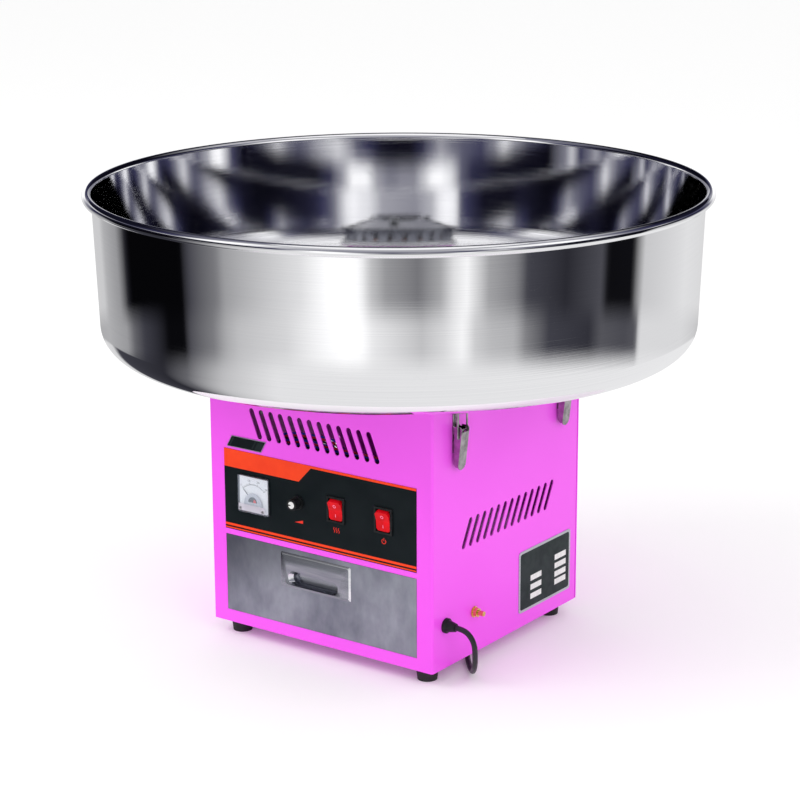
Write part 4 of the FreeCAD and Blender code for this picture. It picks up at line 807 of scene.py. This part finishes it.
def makeKnob():
    k = knobLook
    low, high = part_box("heat_knob")
    axis = jointPlaces["knob_turn"]

    def onKnob(u, v, depth):
        return axis.x + u, low.y - depth, axis.z + v

    rings = [ringPoints(k["cap"], 0, k["sides"]), ringPoints(k["cap"], k["capShoulder"], k["sides"]),
             ringPoints(k["cap"] - k["capBevel"], k["capHeight"], k["sides"])]
    # the cap is real; its flat white colour also paints in the glare on it, a painted highlight
    finishPiece("knobCap", lofted("knobCap", rings, onKnob), "whitePaintAndGlare", "heat_knob", 40)
    turn = math.radians(90 - k["rest"])
    along, across = Vector((math.cos(turn), math.sin(turn))), Vector((-math.sin(turn), math.cos(turn)))
    (near, nearHalf), (far, farHalf) = k["mark"]
    mark = [along * reach + across * side
            for reach, side in ((near, -nearHalf), (far, -farHalf), (far, farHalf), (near, nearHalf))]
    thinPiece("knobMark", [mark], k["capHeight"], k["markHeight"], onKnob, "blackPlastic", "heat_knob")
    (footHalf, sink), (topHalf, rise) = k["ribFoot"], k["ribTop"]
    ends = [[(-footHalf, radius + sink, depth), (footHalf, radius + sink, depth),
             (topHalf, radius + rise, depth), (-topHalf, radius + rise, depth)]
            for radius, depth in k["ribEnds"]]
    places = [(axis.x, high.y, axis.z)] * k["ribs"]
    repeated("knobRibs", lofted("knobRib", ends, onFront(0)), places, "blackPlastic", "heat_knob",
             360 / k["ribs"], 0, (0, 1, 0))
    print("knob dressed")


rockerLook = {"waist": 4.0, "end": (5.41, 11.6), "lean": 11, "markAt": 6, "ring": 1.7, "line": 0.65,
              "bar": 3.6, "ink": (-0.05, 0.12)}


def makeRockerMarks():
    r = rockerLook
    lean, slope = math.radians(r["lean"]), math.atan2(r["end"][0] - r["waist"], r["end"][1])
    at, line, bar = r["markAt"], r["line"] / 2, r["bar"] / 2
    marks = (("Off", 1, ribbon(arcPoints(0, at, r["ring"], 0, 360, 24), r["line"])),
             ("On", -1, rectangle(-line, at - bar, line, at + bar)))
    for name, joint in (("heat_rocker", "heat_switch"), ("power_rocker", "power_switch")):
        axis = jointPlaces[joint]

        def onRocker(half):
            # v runs from the waist to the upper or lower end, depth stands out of that half's face
            def place(u, v, depth):
                y = -r["waist"] * mm - v * math.sin(slope) - depth * math.cos(slope)
                z = half * (v * math.cos(slope) - depth * math.sin(slope))
                return (axis.x + u, axis.y + y * math.cos(lean) - z * math.sin(lean),
                        axis.z + y * math.sin(lean) + z * math.cos(lean))
            return place

        for label, half, outline in marks:
            thinPiece(name + label, [outline], *r["ink"], onRocker(half), "rockerMarks", name)
    print("rockers marked")


rivetLook = {"radius": 2.1, "height": 0.9, "angles": (0, 20, 40, 60, 78), "sides": 20, "panelGap": 1.2,
             "baseRises": (12, -19), "keeperOut": 9, "keeperAside": 3.4, "keeperSink": 1.5}


def makeRivets():
    r = rivetLook
    dome = [(r["radius"] * math.cos(math.radians(turn)), r["height"] * math.sin(math.radians(turn)))
            for turn in r["angles"]]
    rings = [ringPoints(radius, -depth, r["sides"]) for radius, depth in dome[::-1]]
    rings += [ringPoints(radius, depth, r["sides"]) for radius, depth in dome]

    bases, keepers = [], []
    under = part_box("bowl_keepers")[1].z - r["keeperSink"] * mm
    for end in ("front", "rear"):
        for side, sign in (("left", -1), ("right", 1)):
            pin = jointPlaces[f"lever_{end}_{side}"]
            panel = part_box(f"{side}_side_panel")[0 if sign < 0 else 1].x
            bases += [(panel + sign * r["panelGap"] * mm, pin.y, pin.z + rise * mm)
                      for rise in r["baseRises"]]
            keepers += [(panel + sign * r["keeperOut"] * mm, pin.y + aside * r["keeperAside"] * mm, under)
                        for aside in (-1, 1)]
    repeated("latchRivets", lofted("latchRivet", rings, onRight(0)), bases, "platedSteel", "latch_bases")
    upright = lofted("keeperRivet", rings, lambda u, v, depth: (u, v, depth))
    repeated("keeperRivets", upright, keepers, "platedSteel", "bowl_keepers")
    print("rivets set", len(bases) + len(keepers))


# cup: middle, half width and half height; cupFloor: how far each ring has closed in, and its height there
pullShape = {"plateRound": 2, "face": 1.0, "bevel": 2.8, "bevelHeight": 0.8, "cup": (-9, 92, 36, 8),
             "cupWall": 1, "cupDepth": 12, "cupFloor": ((0, 2.5), (0.8, 1.3), (2.2, 1)), "entry": 1.2,
             # the last two: how far a face must turn right or up to take the painted highlight finish
             "entryRound": 0.3, "scoop": 4, "steps": 10, "highlightBevelTurn": 0.1, "highlightEndTurn": 0.6}


def makePull():
    p = pullShape
    low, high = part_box("drawer_pull")
    back = low.y + p["cupWall"] * mm    # the drawer front's face
    x0, z0, x1, z1 = (part / mm for part in (low.x, low.z, high.x, high.z))
    centreX, centreZ, halfWide, halfTall = p["cup"]

    def plate(inset, depth):
        return [(x, y, depth) for x, y in roundedBox(x0 + inset, z0 + inset, x1 - inset, z1 - inset,
                                                     p["plateRound"], p["steps"])]

    def cup(grow, depth):
        wide, tall = halfWide + grow, halfTall + grow
        scoop = min(max(-depth, 0), p["scoop"])    # the left end starts at a slope
        outline = roundedBox(centreX - wide, centreZ - tall, centreX + wide, centreZ + tall, tall * 0.999,
                             p["steps"])
        return [(x + scoop if x < centreX else x, y, depth) for x, y in outline]

    face, entry, floor = p["face"], p["entry"], -p["cupDepth"]
    part = entry * p["entryRound"]
    rings = [cup(p["cupWall"], floor), cup(p["cupWall"], 0), plate(0, 0), plate(0, face - p["bevelHeight"]),
             plate(p["bevel"], face), cup(entry, face), cup(part, face - part), cup(0, face - entry),
             cup(0, -p["scoop"])]
    rings += [cup(-closed, floor + height) for closed, height in p["cupFloor"]]
    mesh = lofted("drawerPull", rings, onFront(back))
    for name in ("pullStainless", "pullPaintedHighlight"):
        mesh.materials.append(materials[name])
    count = len(rings[0])
    for polygon in mesh.polygons[3 * count:4 * count]:    # the bevel's faces turned up or right wear the painted highlight finish
        polygon.material_index = int(max(polygon.normal.x, polygon.normal.z) > p["highlightBevelTurn"])
    for polygon in mesh.polygons[5 * count:8 * count]:    # and so do the scooped end's faces turned right
        polygon.material_index = int(polygon.normal.x > p["highlightEndTurn"])
    pull = finishPiece("drawerPull", mesh, "pullStainless", "drawer_pull", 30)
    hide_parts("drawer_pull")
    print("pull pressed")


# lamps: place, size and power; tint: the blue's lead over a tone, as a share of the tone and at most
studio = {
    "floor": linear(252, 252, 252), "floorHalf": 14, "floorGlow": 0.08, "world": 0.9, "aim": (0, 0, 0.25),
    "lamps": {"key": ((-1.9, -2.4, 2.9), 2.2, 44), "fill": ((3.0, -1.2, 2.0), 2.0, 20)},
    "cardsGlow": 1.2, "cardsRadius": 1.2, "cardsHeight": 3.2, "cardsInside": 0.42, "cardsLift": 0.001,
    "cardsSteps": 180, "cardsTurn": 54.16, "tint": (1.3, 0.05), "lowTint": 0.25, "tintFrom": 0.2,
}

# screen tones of the cards at angles round the object, each with the heights between which it takes over
cards = {
    "onFloor": (None, [(0, 215), (50, 200), (57, 60), (92, 40), (104, 95), (120, 180), (140, 215),
        (300, 220), (330, 216)]),
    "low": ((0.03, 0.06), [(0, 150), (50, 165), (69, 146), (75, 95), (82, 58), (90, 40), (96, 8), (104, 8),
        (107, 74), (117, 118), (122, 161), (127, 181), (144, 203), (156, 239), (163, 254), (168, 249),
        (172, 221), (187, 182), (194, 205), (200, 236), (204, 194), (209, 176), (217, 168), (221, 121),
        (229, 60), (245, 46), (250, 80), (261, 70), (267, 80), (269, 206), (300, 205), (359, 150)]),
    "middle": ((0.095, 0.13), [(0, 190), (46, 190), (52, 166), (65, 142), (72, 30), (75, 5), (104, 5),
        (108, 66), (119, 115), (122, 147), (137, 186), (149, 212), (158, 248), (164, 254), (168, 240),
        (171, 186), (176, 142), (186, 110), (193, 158), (197, 213), (201, 236), (204, 205), (208, 154),
        (217, 122), (221, 62), (235, 39), (249, 70), (252, 12), (264, 14), (270, 190), (300, 212),
        (359, 190)]),
    "tall": ((0.315, 0.5), [(0, 125), (8, 118), (18, 155), (27, 248), (38, 250), (44, 180), (48, 134),
        (57, 46), (69, 14), (134, 12), (144, 66), (150, 190), (156, 252), (162, 235), (167, 165), (178, 90),
        (186, 150), (192, 110), (202, 52), (210, 190), (216, 120), (232, 9), (277, 18), (299, 42),
        (308, 92), (317, 225), (326, 253), (332, 248), (338, 200), (347, 132)]),
    "high": ((0.705, 0.735), [(0, 12), (14, 20), (25, 50), (34, 90), (43, 170), (50, 205), (57, 190),
        (66, 160), (76, 110), (84, 86), (92, 120), (102, 205), (115, 120), (125, 60), (160, 40), (235, 60),
        (250, 92), (262, 150), (271, 215), (280, 130), (291, 66), (305, 85), (315, 110), (325, 150),
        (333, 100), (341, 40), (350, 14)]),
    "top": ((0.8, 0.83), [(0, 10), (30, 24), (44, 14), (75, 16), (88, 38), (98, 56), (105, 96), (109, 215),
        (114, 246), (122, 254), (130, 238), (140, 180), (160, 140), (200, 160), (217, 228), (226, 236),
        (235, 250), (243, 235), (250, 190), (258, 120), (266, 78), (274, 52), (282, 36), (296, 24),
        (311, 18), (326, 12), (341, 8)]),
    "overhead": ((1.4, 2.2), [(0, 120), (60, 90), (150, 205), (240, 110), (300, 190), (359, 120)]),
}


def cardRamp(tree, share, tones, tint):
    ramp = addNode(tree, "ValToRGB", Fac=share)
    stops = ramp.color_ramp.elements
    while len(stops) > 1:
        stops.remove(stops[-1])
    slope, most = studio["tint"]
    for spot, (degrees, screenTone) in enumerate(tones):
        stop = stops[0] if spot == 0 else stops.new(degrees / 360)
        stop.position = degrees / 360
        tone = linear(screenTone, screenTone, screenTone)[0]
        stop.color = (tone, tone, tone + tint * min(slope * tone, most) * (1 - tone), 1)
    return ramp.outputs[0]


def makeCards():
    # cards standing and lying round the object, seen only as reflections in polished metal
    s = studio
    steps, outside, lift = s["cardsSteps"], s["cardsRadius"], s["cardsLift"]
    edges = ((s["cardsInside"], lift), (outside, lift), (outside, s["cardsHeight"]))
    corners = [corner for radius, level in edges for corner in ringPoints(radius, level, steps)]
    faces = [(row + step, row + (step + 1) % steps, row + steps + (step + 1) % steps, row + steps + step)
             for row in (0, steps) for step in range(steps)]
    mesh = plainMesh("studioCards", corners, faces)
    ring = newObject("studioCards", mesh)
    ring.visible_camera = ring.visible_diffuse = ring.visible_shadow = ring.visible_transmission = False

    material, tree = newMaterial("cardTones")
    tree.nodes.remove(tree.nodes["Principled BSDF"])
    turned = addNode(tree, "Mapping", {"vector_type": "POINT"},
                     Vector=tree.nodes.new("ShaderNodeTexCoord").outputs["Object"],
                     Rotation=(0, 0, math.radians(s["cardsTurn"])))
    x, y, height = addNode(tree, "SeparateXYZ", i0=turned.outputs[0]).outputs
    share = ranged(tree, combined(tree, "ARCTAN2", y, x), (-math.pi, math.pi))
    tones = None
    for blend, stops in cards.values():
        tint = 1 if blend and blend[0] > s["tintFrom"] else s["lowTint"]
        ramp = cardRamp(tree, share, stops, tint)
        tones = mixed(tree, ranged(tree, height, blend), tones, ramp) if blend else ramp
    glow = addNode(tree, "Emission", Color=tones, Strength=s["cardsGlow"])
    tree.links.new(glow.outputs[0], tree.nodes["Material Output"].inputs["Surface"])
    mesh.materials.append(material)


def makeFloor():
    half = studio["floorHalf"]
    mesh = plainMesh("floor", [(x, y, 0) for x, y in rectangle(-half, -half, half, half)], [(0, 1, 2, 3)])
    floor = newObject("floor", mesh)
    material, tree = newMaterial("paleFloor")
    shader = tree.nodes["Principled BSDF"].inputs
    shader["Base Color"].default_value = studio["floor"]
    shader["Emission Color"].default_value = (1, 1, 1, 1)
    path = tree.nodes.new("ShaderNodeLightPath").outputs
    glow = combined(tree, "MULTIPLY", path["Is Camera Ray"], studio["floorGlow"])
    tree.links.new(glow, shader["Emission Strength"])
    shader["Roughness"].default_value = 0.9
    shader["Specular IOR Level"].default_value = 0.1
    mesh.materials.append(material)


def makeStudio():
    makeFloor()
    world = bpy.data.worlds.new("studio")
    scene.world = world
    world.use_nodes = True
    tree = world.node_tree
    background = tree.nodes["Background"].inputs
    background["Color"].default_value = (1, 1, 1, 1)
    path = tree.nodes.new("ShaderNodeLightPath").outputs
    seen = combined(tree, "MAXIMUM", path["Is Camera Ray"],
                    combined(tree, "MAXIMUM", path["Is Glossy Ray"], path["Is Transmission Ray"]))
    tree.links.new(ranged(tree, seen, result=(studio["world"], 1)), background["Strength"])

    for name, (place, size, power) in studio["lamps"].items():
        data = bpy.data.lights.new(name, "AREA")
        data.energy, data.size = power, size
        lamp = newObject(name, data)
        lamp.rotation_mode = "QUATERNION"
        lamp.rotation_quaternion = (Vector(studio["aim"]) - Vector(place)).to_track_quat("-Z", "Y")
        lamp.location = place
    makeCards()
    scene.view_settings.view_transform = "Standard"
    print("studio lit")


placeCamera()
makeCord()
dressNodes()
makeWires()
makeBowl()
makePanelPrint()
makeBadge()
makeRatingPlate()
makeMeterCover()
makeDial()
makeKnob()
makeRockerMarks()
makeRivets()
makePull()
makeStudio()
